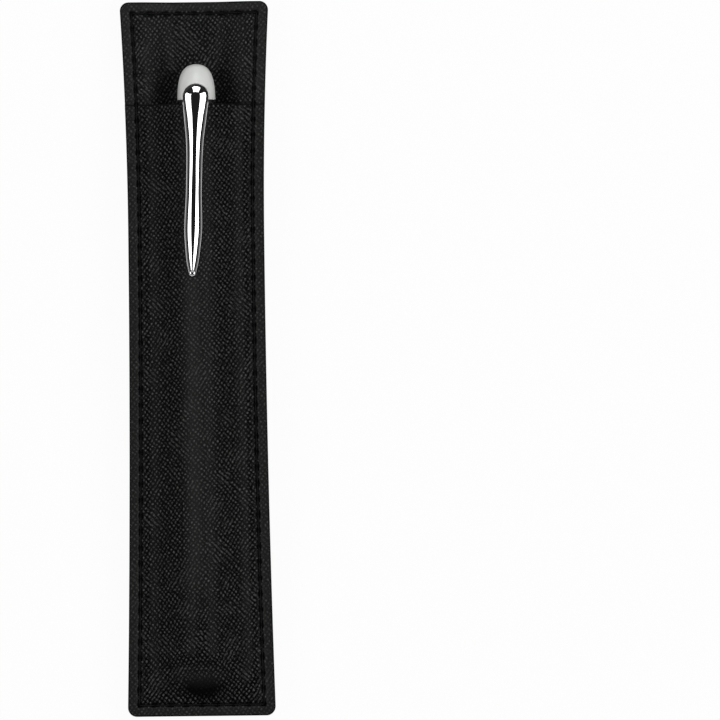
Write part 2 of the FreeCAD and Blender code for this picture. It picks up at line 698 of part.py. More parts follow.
def grip_section():
    """Grip section: screw for the barrel, waisted grip, and bores for the converter and for the nib."""
    ring_top = BARREL_MOUTH_Y + RING_LENGTH
    waist_y = LIP_Y + GRIP_TAPER_LENGTH
    roll = GRIP_WAIST_RADIUS + GRIP_ROLL
    body = turned(
        (SOCKET_RADIUS, BARREL_MOUTH_Y - SECTION_SCREW_LENGTH),
        (SECTION_SCREW_RADIUS, BARREL_MOUTH_Y - SECTION_SCREW_LENGTH),
        (SECTION_SCREW_RADIUS, ring_top),
        (GRIP_RADIUS, ring_top),
        (GRIP_WAIST_RADIUS, waist_y),
        (roll, SECTION_FRONT_Y - GRIP_ROLL_LENGTH),
        (roll, SECTION_FRONT_Y),
        (NIB_SEAT_RADIUS, SECTION_FRONT_Y),
        (NIB_SEAT_RADIUS, SOCKET_END_Y),
        (SOCKET_RADIUS, SOCKET_END_Y),
    )
    return on_pen(body)


def section_ring():
    """Bright ring between the barrel and the grip, which the cap's lip snaps over."""
    inner = SECTION_SCREW_RADIUS + FIT_CLEARANCE
    outer = CAP_BORE - RUNNING_CLEARANCE
    low = BARREL_MOUTH_Y + FIT_CLEARANCE
    high = BARREL_MOUTH_Y + RING_LENGTH - FIT_CLEARANCE
    return on_pen(turned((inner, low), (outer, low), (outer, high), (inner, high)))


def nib():
    """Rolled steel nib with shoulders, a breather hole, a slit and a tipping ball."""
    inner = NIB_RADIUS - NIB_THICKNESS
    heel_y = SOCKET_END_Y + NIB_HEEL_GAP
    shoulder_y = SECTION_FRONT_Y + NIB_SHOULDER_LENGTH
    point_y = NIB_TIP_Y - TIPPING_RADIUS
    roll = turned((inner, heel_y), (NIB_RADIUS, heel_y), (NIB_RADIUS, point_y), (inner, point_y))
    wide = 2 * NIB_RADIUS
    half_shoulder = NIB_SHOULDER_WIDTH / 2
    blank = plate(
        NIB_WRAP_HEIGHT,
        wide,
        (-wide, heel_y),
        (wide, heel_y),
        (wide, shoulder_y),
        (half_shoulder, shoulder_y + NIB_SHOULDER_RUN),
        (TIPPING_RADIUS, point_y),
        (-TIPPING_RADIUS, point_y),
        (-half_shoulder, shoulder_y + NIB_SHOULDER_RUN),
        (-wide, shoulder_y),
    )
    breather = Part.makeCylinder(BREATHER_RADIUS, wide, Vector(0, shoulder_y, 0), UP)
    half = NIB_SLIT / 2
    slit = plate(0, wide, (-half, shoulder_y), (half, shoulder_y), (half, NIB_TIP_Y), (-half, NIB_TIP_Y))
    tipping = Part.makeSphere(TIPPING_RADIUS, Vector(0, point_y, NIB_RADIUS - TIPPING_RADIUS))
    return on_pen(roll.common(blank).fuse(tipping).cut(breather).cut(slit))


def feed_beak_cut(radius, beak_y):
    """Wedge under the feed that leaves its beak rising to the nib."""
    wide = 3 * radius
    corners = [
        Vector(-wide, SECTION_FRONT_Y, -radius),
        Vector(-wide, beak_y, FEED_BEAK_HEIGHT),
        Vector(-wide, beak_y, -wide),
        Vector(-wide, SECTION_FRONT_Y, -wide),
    ]
    return Part.Face(Part.makePolygon(corners + corners[:1])).extrude(ACROSS * 2 * wide)


def feed():
    """Ink feed under the nib: round body, nipple for the converter, and a finned beak."""
    radius = NIB_RADIUS - NIB_THICKNESS - FIT_CLEARANCE
    wide = 3 * radius
    rear = SOCKET_END_Y + RUNNING_CLEARANCE
    low = rear - FEED_NIPPLE_LENGTH
    beak_y = SECTION_FRONT_Y + FEED_BEAK_LENGTH
    shoulder_y = SECTION_FRONT_Y + FEED_SHOULDER_LENGTH
    body = turned(
        (0, low),
        (FEED_NIPPLE_RADIUS, low),
        (FEED_NIPPLE_RADIUS, rear),
        (radius, rear),
        (radius, beak_y),
        (0, beak_y),
    )
    half_beak = FEED_BEAK_WIDTH / 2
    beak = plate(
        -wide,
        wide,
        (-wide, low - TRIM),
        (wide, low - TRIM),
        (wide, shoulder_y),
        (half_beak, beak_y),
        (-half_beak, beak_y),
        (-wide, shoulder_y),
    )
    body = body.cut(feed_beak_cut(radius, beak_y)).common(beak)
    for i in range(FIN_COUNT):
        gap_y = SECTION_FRONT_Y + FIN_START + FIN_PITCH * i
        gap_corner = Vector(-wide, gap_y, -wide - FIN_ROOT)
        body = body.cut(Part.makeBox(2 * wide, FIN_PITCH / 2, wide, gap_corner))
    return on_pen(body)


def converter_tube():
    """Clear ink tube whose mouth seats in the grip section."""
    low = TUBE_LOW_Y
    high = SOCKET_END_Y - RUNNING_CLEARANCE
    outer = CONVERTER_RADIUS
    return on_pen(turned((TUBE_BORE, low), (outer, low), (outer, high), (TUBE_BORE, high)))


def converter_collar():
    """Bright collar that holds the ink tube and carries the knob's stem."""
    low = KNOB_TOP_Y + RUNNING_CLEARANCE
    outer = CONVERTER_BORE - RUNNING_CLEARANCE
    seat = CONVERTER_RADIUS + FIT_CLEARANCE
    stem_bore = STEM_RADIUS + RUNNING_CLEARANCE
    return on_pen(
        turned(
            (stem_bore, low),
            (outer, low),
            (outer, COLLAR_TOP_Y),
            (seat, COLLAR_TOP_Y),
            (seat, TUBE_LOW_Y - FIT_CLEARANCE),
            (stem_bore, TUBE_LOW_Y - FIT_CLEARANCE),
        )
    )


def converter_knob():
    """Fluted knob with a hollow stem that winds the piston rod."""
    bore = ROD_RADIUS + RUNNING_CLEARANCE
    body = turned(
        (0, KNOB_Y),
        (KNOB_RADIUS, KNOB_Y),
        (KNOB_RADIUS, KNOB_TOP_Y),
        (STEM_RADIUS, KNOB_TOP_Y),
        (STEM_RADIUS, KNOB_TOP_Y + STEM_LENGTH),
        (bore, KNOB_TOP_Y + STEM_LENGTH),
        (bore, KNOB_Y + bore),
        (0, KNOB_Y + bore),
    )
    start = Vector(KNOB_RADIUS + FLUTE_RADIUS / 3, KNOB_Y + FLUTE_END, 0)
    flute = Part.makeCylinder(FLUTE_RADIUS, KNOB_LENGTH - 2 * FLUTE_END, start, ALONG)
    cuts = [flute.rotated(Vector(), ALONG, 360 * i / KNOB_FLUTES) for i in range(KNOB_FLUTES)]
    return on_pen(body.cut(Part.makeCompound(cuts)))


def converter_piston():
    """Seal that slides in the ink tube, with a groove between its two lips."""
    lip = TUBE_BORE - RUNNING_CLEARANCE
    waist = lip - PISTON_GROOVE
    third = PISTON_LENGTH / 3
    return on_pen(
        turned(
            (0, PISTON_Y),
            (lip, PISTON_Y),
            (lip, PISTON_Y + third),
            (waist, PISTON_Y + third),
            (waist, PISTON_Y + 2 * third),
            (lip, PISTON_Y + 2 * third),
            (lip, PISTON_Y + PISTON_LENGTH),
            (0, PISTON_Y + PISTON_LENGTH),
        )
    )


def converter_rod():
    """Rod from the knob's stem to the piston."""
    low = KNOB_TOP_Y + STEM_LENGTH + ROD_GAP
    return on_pen(turned((0, low), (ROD_RADIUS, low), (ROD_RADIUS, PISTON_Y), (0, PISTON_Y)))


def front_thread():
    """Needle thread: the stitches on the front."""
    return thread(front_height, 1)


def back_thread():
    """Bobbin thread: the stitches on the back."""
    return thread(back_height, -1)


PIECES = [
    back_cover,
    back_interlining,
    inner_facing,
    pocket_panel,
    pocket_lining,
    front_thread,
    back_thread,
    cap_crown,
    crown_screw,
    cap_tube,
    cap_band,
    inner_cap,
    clip,
    clip_pin,
    clip_spring,
    barrel,
    barrel_tail,
    grip_section,
    section_ring,
    nib,
    feed,
    converter_tube,
    converter_collar,
    converter_piston,
    converter_rod,
    converter_knob,
]

if __name__ == "__main__":
    os.makedirs("parts", exist_ok=True)
    for piece in PIECES:
        shape = piece()
        name = piece.__name__
        shape.exportStep(f"parts/{name}.step")
        print(f"{name}: {len(shape.Solids)} solids, {shape.Volume:.1f} mm3, valid {shape.isValid()}")
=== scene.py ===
"""Fountain pen case: a sewn cross-grain leather sleeve with a pen in its pocket, on a pale floor.

Metres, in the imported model's own frame: +Y runs along the pen towards the mouth and +Z up out of the front.
"""

import json
import logging
import math
from dataclasses import dataclass, field, replace
from enum import Enum
from functools import cached_property
from typing import Callable, Iterable, NamedTuple, Sequence

import bmesh
import bpy
import numpy as np
from mathutils import Matrix, Vector
from mathutils.geometry import interpolate_bezier


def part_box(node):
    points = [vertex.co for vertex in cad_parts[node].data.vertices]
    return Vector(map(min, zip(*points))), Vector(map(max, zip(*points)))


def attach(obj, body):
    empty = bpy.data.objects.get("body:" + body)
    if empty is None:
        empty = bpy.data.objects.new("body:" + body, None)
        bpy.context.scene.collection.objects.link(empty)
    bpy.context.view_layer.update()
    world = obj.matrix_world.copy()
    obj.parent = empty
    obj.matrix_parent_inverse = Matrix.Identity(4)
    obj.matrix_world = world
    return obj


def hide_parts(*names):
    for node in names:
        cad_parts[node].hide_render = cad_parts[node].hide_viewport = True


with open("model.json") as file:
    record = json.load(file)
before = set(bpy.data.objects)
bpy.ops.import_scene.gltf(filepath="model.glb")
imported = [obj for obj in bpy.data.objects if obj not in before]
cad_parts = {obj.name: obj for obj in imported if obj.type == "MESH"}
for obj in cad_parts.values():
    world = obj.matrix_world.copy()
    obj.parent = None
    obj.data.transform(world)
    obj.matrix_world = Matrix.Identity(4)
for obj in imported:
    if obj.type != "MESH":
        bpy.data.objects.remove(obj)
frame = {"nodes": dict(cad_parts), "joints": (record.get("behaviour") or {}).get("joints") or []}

Array = np.ndarray
Colour = tuple[float, float, float]
Faces = list[tuple[int, ...]]
Height = Callable[[Array, Array], Array]
Piece = bpy.types.Object
Socket = bpy.types.NodeSocket
Input = Socket | float | Colour
# A smooth step's low and high end, and the numbers that it runs from and to
Step = tuple[float, float, float, float]

MM = 0.001
# Half the distance over which a face's slope is read
PROBE = 0.01 * MM
# Vertex attributes of a sheet: its places, and what the seam and the pen do to it, which sets the painted
# shade of the seam and the dent and the painted sheen over the pen
PLACE = "sheet_place"
STRAIN = "seam_reach"
log = logging.getLogger("pen_case")


def ease(share: Array | float) -> Array:
    """Smooth step from 0 to 1 as share runs from 0 to 1."""
    return 0.5 - 0.5 * np.cos(np.pi * np.clip(share, 0.0, 1.0))


def bell(distance: Array, reach: Array | float) -> Array:
    """Rounded hump that is 1 at no distance and has faded at about twice its reach."""
    return np.exp(-((distance / reach) ** 2))


def slope_across(height: Height, x: Array, y: Array) -> Array:
    """Slope of a face across the case."""
    return (height(x + PROBE, y) - height(x - PROBE, y)) / (2 * PROBE)


def smooth_through(places: Sequence[float], values: Sequence[float], wanted: Array) -> Array:
    """Curve through points that never swings past them.

    Args:
        places: Rising places of the points.
        values: The curve's value at each place.
        wanted: Places to read the curve at.

    Returns:
        The curve's values there.
    """
    x, y = np.asarray(places), np.asarray(values)
    steps = np.diff(x)
    slopes = np.diff(y) / steps
    before, after = slopes[:-1], slopes[1:]
    same_way = before * after > 0
    inner = np.where(same_way, 2 * before * after / np.where(same_way, before + after, 1.0), 0.0)
    tangents = np.concatenate([slopes[:1], inner, slopes[-1:]])
    index = np.clip(np.searchsorted(x, wanted) - 1, 0, len(steps) - 1)
    step = steps[index]
    t = (wanted - x[index]) / step
    rise = t * t * (3 - 2 * t)
    start, end = tangents[index] * step, tangents[index + 1] * step
    return y[index] * (1 - rise) + y[index + 1] * rise + t * (1 - t) * (start * (1 - t) - end * t)


def grid_faces(rows: int, columns: int, first: int = 0, closed: bool = False) -> Faces:
    """Quads over a grid of vertices that is stored row by row.

    Args:
        rows: Number of rows.
        columns: Number of vertices in a row.
        first: Index of the grid's first vertex.
        closed: Whether each row is a ring.

    Returns:
        The quads' vertex indices.
    """
    faces = []
    for r in range(rows - 1):
        base = first + r * columns
        for c in range(columns if closed else columns - 1):
            d = (c + 1) % columns
            faces.append((base + c, base + d, base + columns + d, base + columns + c))
    return faces


def bar_between(low: Array, high: Array, first: int = 0) -> tuple[Array, Faces]:
    """Closed bar between two outlines.

    Args:
        low: Vertices round one end.
        high: Vertices round the other end, in the same order.
        first: Index of the bar's first vertex.

    Returns:
        Its vertices and its faces.
    """
    count = len(low)
    ends = [tuple(range(start, start + count)) for start in (first, first + count)]
    return np.concatenate([low, high]), grid_faces(2, count, first, True) + ends


def at_height(outline: Array, z: float) -> Array:
    """A flat outline's points at one height."""
    return np.column_stack([outline, np.full(len(outline), z)])


def arch(middle: float, radius: float, centre: float, foot: float, points: int = 33) -> Array:
    """Outline of a half circle on straight legs.

    Args:
        middle: Its middle line's place across the case.
        radius: The half circle's radius.
        centre: Place of the half circle's centre along the case.
        foot: Where the legs end.
        points: Number of points on the half circle.

    Returns:
        The outline's places across and along, one row each.
    """
    turn = np.linspace(0.0, math.pi, points)
    top = np.column_stack([radius * np.cos(turn), centre + radius * np.sin(turn)])
    return np.concatenate([[(radius, foot)], top, [(-radius, foot)]]) + (middle, 0.0)


def make_piece(name: str, verts: Array, faces: Faces, smooth: bool = True) -> Piece:
    """New mesh object with its faces turned outwards.

    Args:
        name: The piece's name.
        verts: Vertex places, one row each.
        faces: Vertex indices of each face.
        smooth: Whether its faces are shaded smooth.

    Returns:
        The object, linked to the scene.
    """
    mesh = bpy.data.meshes.new(name)
    mesh.from_pydata(verts.tolist(), [], faces)
    work = bmesh.new()
    work.from_mesh(mesh)
    bmesh.ops.recalc_face_normals(work, faces=work.faces)
    work.to_mesh(mesh)
    work.free()
    mesh.polygons.foreach_set("use_smooth", [smooth] * len(mesh.polygons))
    piece = bpy.data.objects.new(name, mesh)
    bpy.context.scene.collection.objects.link(piece)
    return piece


def bake_modifiers(piece: Piece) -> None:
    """Turns a piece's modifiers into plain mesh.

    Args:
        piece: The piece, which keeps its name.
    """
    bpy.context.view_layer.update()
    seen = piece.evaluated_get(bpy.context.evaluated_depsgraph_get())
    mesh = bpy.data.meshes.new_from_object(seen)
    piece.modifiers.clear()
    piece.data = mesh


class NodePad:
    """Short calls for laying out one material's nodes."""

    def __init__(self, name: str) -> None:
        """Starts a material with its principled shader.

        Args:
            name: The material's name.
        """
        self.material = bpy.data.materials.new(name)
        self.material.use_nodes = True
        self.tree = self.material.node_tree
        self.shader = self.tree.nodes["Principled BSDF"]

    def plug(self, socket: Socket, value: Input) -> None:
        """Links a socket to another, or sets its own value.

        Args:
            socket: The input to fill.
            value: An output to link, or a number or colour to set.
        """
        if isinstance(value, Socket):
            self.tree.links.new(value, socket)
        elif socket.type == "RGBA":
            socket.default_value = (*value, 1.0)
        else:
            socket.default_value = value

    def add(self, kind: str, **inputs: Input) -> bpy.types.Node:
        """Adds a node.

        Args:
            kind: Blender's name for it.
            inputs: What fills its inputs, whose names are written with underscores.

        Returns:
            The node.
        """
        node = self.tree.nodes.new(kind)
        for name, value in inputs.items():
            self.plug(node.inputs[name.replace("_", " ")], value)
        return node

    def math(self, operation: str, *values: Socket | float) -> Socket:
        """Does one sum.

        Args:
            operation: Blender's name for it.
            values: Up to three values.

        Returns:
            The result.
        """
        node = self.tree.nodes.new("ShaderNodeMath")
        node.operation = operation
        for socket, value in zip(node.inputs, values):
            self.plug(socket, value)
        return node.outputs[0]

    def place(self) -> Socket:
        """Place in the piece's own space."""
        return self.add("ShaderNodeTexCoord").outputs["Object"]

    def read(self, attribute: str) -> Socket:
        """Reads a vertex attribute.

        Args:
            attribute: Its name.

        Returns:
            Its vector.
        """
        node = self.add("ShaderNodeAttribute")
        node.attribute_name = attribute
        return node.outputs["Vector"]

    def split(self, vector: Socket) -> tuple[Socket, Socket, Socket]:
        """The three parts of a vector."""
        return tuple(self.add("ShaderNodeSeparateXYZ", Vector=vector).outputs)

    def noise(self, place: Socket, size: float, detail: float = 2.0) -> Socket:
        """Cloudy noise from 0 to 1 with features of about that size."""
        return self.add("ShaderNodeTexNoise", Vector=place, Scale=1.0 / size, Detail=detail).outputs[0]

    def stretched(self, place: Socket, scale: tuple[float, float, float]) -> Socket:
        """A place with each axis scaled."""
        return self.add("ShaderNodeMapping", Vector=place, Scale=scale).outputs[0]

    def between(
        self, value: Socket, low: float, high: float, start: float = 0.0, end: float = 1.0
    ) -> Socket:
        """Smooth step from one number to another.

        Args:
            value: What the step follows.
            low: Where it starts.
            high: Where it ends.
            start: Number that it runs from.
            end: Number that it runs to.

        Returns:
            The stepped number.
        """
        node = self.add("ShaderNodeMapRange")
        node.interpolation_type = "SMOOTHSTEP"
        for socket, number in zip(node.inputs, (value, low, high, start, end)):
            self.plug(socket, number)
        return node.outputs[0]

    def blend(self, amount: Socket, low: Socket | Colour, high: Socket | Colour) -> Socket:
        """Mixes two colours.

        Args:
            amount: How far the mix runs from the low to the high colour.
            low: Colour at 0.
            high: Colour at 1.

        Returns:
            The mixed colour.
        """
        node = self.tree.nodes.new("ShaderNodeMix")
        node.data_type = "RGBA"
        sockets = {socket.identifier: socket for socket in (*node.inputs, *node.outputs)}
        for name, value in (("Factor_Float", amount), ("A_Color", low), ("B_Color", high)):
            self.plug(sockets[name], value)
        return sockets["Result_Color"]

    def bump(self, height: Socket, depth: float) -> None:
        """Relief of that depth in metres on the shader."""
        node = self.add("ShaderNodeBump", Height=height, Distance=depth, Strength=1.0)
        self.tree.links.new(node.outputs[0], self.shader.inputs["Normal"])

    def set(self, **inputs: Input) -> None:
        """Fills the shader's own inputs, whose names are written with underscores."""
        for name, value in inputs.items():
            self.plug(self.shader.inputs[name.replace("_", " ")], value)


@dataclass(frozen=True)
class Finish:
    """A surface that several pieces may share.

    Attributes:
        name: The material's name.
        slot: The record's material slot; not used.
    """

    name: str
    slot: str

    def lay(self, pad: NodePad) -> None:
        """Lays out the finish's nodes."""
        raise NotImplementedError

    def material(self) -> bpy.types.Material:
        """Makes the finish's material the first time it is asked for.

        Returns:
            The material.
        """
        if self.name not in bpy.data.materials:
            self.lay(NodePad(self.name))
        return bpy.data.materials[self.name]


@dataclass(frozen=True)
class GrainLines:
    """One of the two families of lines that are pressed into cross-grain leather.

    Attributes:
        pitch: Distance from line to line.
        lean: How steeply the lines run, in degrees off straight across the case.
        fall: +1 for lines that fall to the right, -1 for lines that fall to the left.
        bend: Size of the noise that bends them.
        fade: Levels of the patchy noise between which they fade.
        fade_level: How high their furrows are where they have faded.
        drift: How far the noise shifts them, in radians of their wave.
        sharpness: Power that rounds their furrows and narrows the ridges.
    """

    pitch: float
    lean: float
    fall: int
    bend: float
    fade: tuple[float, float]
    fade_level: float = 0.6
    drift: float = 3.4
    sharpness: float = 2.0

    def ridges(self, pad: NodePad, across: Socket, along: Socket, flat: Socket, patch: Socket) -> Socket:
        """Heights of the lines: 0 in a line's furrow and 1 on the ridge between two.

        Args:
            pad: The material's nodes.
            across: Place across the sheet.
            along: Place along the sheet.
            flat: The two together.
            patch: Patchy noise, by which the lines fade here and there.

        Returns:
            The heights.
        """
        steep = math.radians(self.lean)
        rate = math.pi / self.pitch
        x = pad.math("MULTIPLY", across, rate * math.sin(steep))
        y = pad.math("MULTIPLY", along, rate * self.fall * math.cos(steep))
        bent = pad.math("MULTIPLY_ADD", pad.noise(flat, self.bend), self.drift, pad.math("ADD", x, y))
        ridge = pad.math("POWER", pad.math("ABSOLUTE", pad.math("SINE", bent)), self.sharpness)
        return pad.math("MAXIMUM", ridge, pad.between(patch, *self.fade, 0.0, self.fade_level))


FALLING_LINES = GrainLines(pitch=0.91 * MM, lean=44.0, fall=1, bend=3.1 * MM, fade=(0.52, 0.72))
RISING_LINES = GrainLines(pitch=0.82 * MM, lean=57.0, fall=-1, bend=4.3 * MM, fade=(0.48, 0.28))


@dataclass(frozen=True)
class CrossGrain(Finish):
    """Leather pressed with two families of crossing lines, softer on its rim and painted along its edge, its
    colour holding painted highlights and painted shade.

    Attributes:
        falling: Lines that fall to the right.
        rising: Lines that fall to the left.
        depth: Depth of the relief.
        patch: Size of the patches where one family fades.
        fleck: Size of the uneven flecks that break up the ridges.
        fleck_step: How the flecks dim a ridge.
        pore: Size of the pores.
        pore_height: Their height, as a share of the lines'.
        rim: How the grain softens towards the case's outline.
        rim_shine: Painted highlights that the pores give the softened rim instead.
        painted: How the edge paint gives way to leather, going in from the edge.
        pressed: How the grain and its painted highlights are taken away towards the stitches and in the dent
            below the pen: pressed-flat grain in the channel, and painted shade there and in the dent.
        stretch_loss: Share of the grain that is lost where the pen stretches the leather.
        stretch_shine: Painted sheen: what the stretched leather over the pen gains in colour.
        ridge: Colour of a ridge, lightened as a painted highlight.
        furrow: Colour of a furrow: the leather's own black, darkened further as painted shade.
        paint: Colour of the edge paint.
        rough: Roughness of the paint and of the leather.
        rough_fleck: What the flecks add to it.
        specular: Weight of the mirror reflection.
    """

    falling: GrainLines = FALLING_LINES
    rising: GrainLines = RISING_LINES
    depth: float = 0.17 * MM
    patch: float = 9.0 * MM
    fleck: float = 0.55 * MM
    fleck_step: Step = (0.35, 0.73, 0.08, 1.0)
    pore: float = 0.12 * MM
    pore_height: float = 0.12
    rim: Step = (1.9 * MM, 2.6 * MM, 0.45, 1.0)
    rim_shine: Step = (0.2, 0.8, 0.05, 0.35)
    painted: Step = (0.18 * MM, 0.42 * MM, 0.0, 1.0)
    pressed: Step = (0.12, 0.7, 1.0, 0.05)
    stretch_loss: float = 0.35
    stretch_shine: float = 0.12
    ridge: Colour = (0.120, 0.120, 0.118)
    furrow: Colour = (0.0006, 0.0006, 0.0006)
    paint: Colour = (0.0045, 0.0048, 0.0052)
    rough: tuple[float, float] = (0.24, 0.22)
    rough_fleck: float = 0.14
    specular: float = 0.04

    def lay(self, pad: NodePad) -> None:
        """Lays out grain, rim and painted edge, with painted highlights on the ridges, painted shade in the
        furrows, seam and dent, and a painted sheen over the pen.

        Args:
            pad: The material's nodes.
        """
        place = pad.read(PLACE)
        across, along, inset = pad.split(place)
        sewn, outline, stretch_sheen = pad.split(pad.read(STRAIN))
        flat = pad.stretched(place, (1.0, 1.0, 0.0))
        sizes = (self.patch, self.fleck, self.pore)
        patch, fleck, pores = (pad.noise(flat, size, detail=1.0) for size in sizes)
        families = [lines.ridges(pad, across, along, flat, patch) for lines in (self.falling, self.rising)]
        cells = pad.math("MULTIPLY", pad.math("MULTIPLY", *families), pad.between(fleck, *self.fleck_step))
        rim = pad.between(outline, *self.rim)
        bare = pad.between(inset, *self.painted)
        # The seam's channel and the dent below the pen lose the grain's glints, which darkens them as painted
        # shade.
        shown = pad.math("MULTIPLY", bare, pad.between(sewn, *self.pressed))
        eased = pad.math("MULTIPLY_ADD", stretch_sheen, -self.stretch_loss, 1.0)
        relief = pad.math("MULTIPLY", pad.math("MULTIPLY_ADD", pores, self.pore_height, cells), eased)
        pad.bump(pad.math("MULTIPLY", relief, pad.math("MULTIPLY", rim, shown)), self.depth)
        # Painted highlights: the rim's pores and the grain's ridges are coloured light and the furrows dark,
        # standing in for glints and shade.
        soft = pad.math("MULTIPLY", pad.math("SUBTRACT", 1.0, rim), pad.between(pores, *self.rim_shine))
        glint_dots = pad.math("MULTIPLY", pad.math("MULTIPLY_ADD", cells, rim, soft), shown)
        # Painted sheen along the band that the pen pulls smooth.
        glint_dots = pad.math("MULTIPLY_ADD", stretch_sheen, self.stretch_shine, pad.math("MULTIPLY", glint_dots, eased))
        rough = pad.between(bare, 0.0, 1.0, *self.rough)
        pad.set(
            Base_Color=pad.blend(bare, self.paint, pad.blend(glint_dots, self.furrow, self.ridge)),
            Roughness=pad.math("MULTIPLY_ADD", fleck, self.rough_fleck, rough),
            Specular_IOR_Level=self.specular,
        )


@dataclass(frozen=True)
class WovenCloth(Finish):
    """Plain weave of two crossing yarns.

    Attributes:
        yarn: Distance from yarn to yarn.
        colour: Colour on top of a yarn.
        shade: Colour between the yarns.
        depth: Depth of the weave.
        fuzz: Size of the loose fibres.
        fuzz_height: Their height, as a share of the weave's.
        rough: Least and most roughness.
        sheen: Weight of the soft sheen.
    """

    yarn: float = 0.32 * MM
    colour: Colour = (0.016, 0.016, 0.017)
    shade: Colour = (0.004, 0.004, 0.004)
    depth: float = 0.08 * MM
    fuzz: float = 0.1 * MM
    fuzz_height: float = 0.3
    rough: tuple[float, float] = (0.75, 0.95)
    sheen: float = 0.3

    def lay(self, pad: NodePad) -> None:
        """Lays out warp and weft as crossing ridges.

        Args:
            pad: The material's nodes.
        """
        place = pad.read(PLACE)
        across, along, _ = pad.split(place)
        rate = math.pi / self.yarn
        warp, weft = (pad.math("SINE", pad.math("MULTIPLY", way, rate)) for way in (across, along))
        over = pad.math("MULTIPLY_ADD", pad.math("MULTIPLY", warp, weft), 0.5, 0.5)
        fuzz = pad.noise(place, self.fuzz)
        pad.bump(pad.math("MULTIPLY_ADD", fuzz, self.fuzz_height, over), self.depth)
        pad.set(
            Base_Color=pad.blend(over, self.shade, self.colour),
            Roughness=pad.between(fuzz, 0.0, 1.0, *self.rough),
            Sheen_Weight=self.sheen,
        )


@dataclass(frozen=True)
class TwistedThread(Finish):
    """Bonded sewing thread with loose fibres.

    Attributes:
        colour: Colour of the raised fibres.
        shade: Colour between them.
        fibre: Size of the fibres.
        depth: Depth of their relief.
        rough: How roughness follows the fibres.
        specular: Weight of the mirror reflection.
    """

    colour: Colour = (0.0065, 0.0065, 0.0068)
    shade: Colour = (0.0015, 0.0015, 0.0015)
    fibre: float = 0.09 * MM
    depth: float = 0.05 * MM
    rough: Step = (0.2, 0.8, 0.45, 0.65)
    specular: float = 0.1

    def lay(self, pad: NodePad) -> None:
        """Lays out fibres along the thread.

        Args:
            pad: The material's nodes.
        """
        fibre = pad.noise(pad.place(), self.fibre, detail=3.0)
        pad.bump(fibre, self.depth)
        pad.set(
            Base_Color=pad.blend(fibre, self.shade, self.colour),
            Roughness=pad.between(fibre, *self.rough),
            Specular_IOR_Level=self.specular,
        )


@dataclass(frozen=True)
class HardFinish(Finish):
    """Lacquer, plastic, rubber or metal with fine relief, cloudy gloss and a little colour variation.

    Attributes:
        colour: Main colour.
        second: Colour that the noise runs to.
        rough: Least and most roughness.
        metal: 1 on a metal.
        coat: Weight of a clear coat.
        coat_rough: The coat's roughness.
        clear: 1 on a see-through plastic.
        grain: Size of the relief.
        depth: Depth of the relief.
        drawn: Stretch of the relief along the pen, for drawn or turned surfaces.
        cloud: Size of the gloss's clouds, in grains.
        cloud_levels: Levels of the clouds between which the roughness changes.
    """

    colour: Colour = (0.5, 0.5, 0.5)
    second: Colour = (0.5, 0.5, 0.5)
    rough: tuple[float, float] = (0.3, 0.4)
    metal: float = 0.0
    coat: float = 0.0
    coat_rough: float = 0.04
    clear: float = 0.0
    grain: float = 0.4 * MM
    depth: float = 0.002 * MM
    drawn: float = 1.0
    cloud: float = 12.0
    cloud_levels: tuple[float, float] = (0.25, 0.75)

    def lay(self, pad: NodePad) -> None:
        """Lays out relief, gloss and colour.

        Args:
            pad: The material's nodes.
        """
        place = pad.stretched(pad.place(), (1.0, 1.0 / self.drawn, 1.0))
        fine = pad.noise(place, self.grain, detail=3.0)
        cloud = pad.noise(place, self.cloud * self.grain)
        pad.bump(fine, self.depth)
        pad.set(
            Base_Color=pad.blend(pad.math("MULTIPLY", fine, cloud), self.colour, self.second),
            Roughness=pad.between(cloud, *self.cloud_levels, *self.rough),
            Metallic=self.metal,
            Coat_Weight=self.coat,
            Coat_Roughness=self.coat_rough,
            Transmission_Weight=self.clear,
        )


LEATHER = CrossGrain("cross_grain_leather", "case_leather")
BACK_LEATHER = CrossGrain(
    "back_leather", "case_leather", replace(FALLING_LINES, lean=45.0), replace(RISING_LINES, lean=45.0)
)
# The facing's furrows are lighter, carrying less painted shade.
FACING_LEATHER = CrossGrain("facing_leather", "case_leather", furrow=(0.004, 0.0043, 0.0043))
BACKING = WovenCloth("leather_backing", "case_leather", colour=(0.02, 0.02, 0.02))
LINING = WovenCloth("lining_cloth", "lining_cloth")
BOARD = HardFinish(
    "pressed_board", "board", (0.012, 0.012, 0.012), (0.022, 0.021, 0.02), (0.7, 0.9), depth=0.03 * MM
)
THREAD = TwistedThread("bonded_thread", "sewing_thread")
PALE = HardFinish(
    "pale_crown_lacquer", "pale_crown", (0.76, 0.77, 0.745), (0.72, 0.73, 0.705), (0.32, 0.42), coat=0.25
)
CHROME = HardFinish(
    "polished_chrome", "bright_chrome", (0.95, 0.95, 0.955), (0.90, 0.90, 0.91), (0.025, 0.06), metal=1.0,
    depth=0.0002 * MM, drawn=6.0
)
SPRING = HardFinish(
    "spring_steel", "spring_steel", (0.50, 0.50, 0.51), (0.38, 0.38, 0.40), (0.22, 0.38), metal=1.0,
    drawn=8.0
)
LACQUER = HardFinish(
    "black_lacquer", "black_lacquer", (0.006, 0.006, 0.007), (0.010, 0.010, 0.011), (0.10, 0.20), coat=0.8
)
PLASTIC = HardFinish(
    "black_plastic", "black_plastic", (0.012, 0.012, 0.012), (0.020, 0.020, 0.020), (0.35, 0.5),
    depth=0.006 * MM
)
LINER = HardFinish("liner_plastic", "liner_plastic", (0.55, 0.55, 0.53), (0.48, 0.48, 0.46), (0.4, 0.55))
STEEL = HardFinish(
    "nib_steel", "nib_steel", (0.80, 0.80, 0.80), (0.70, 0.70, 0.71), (0.10, 0.20), metal=1.0, drawn=5.0
)
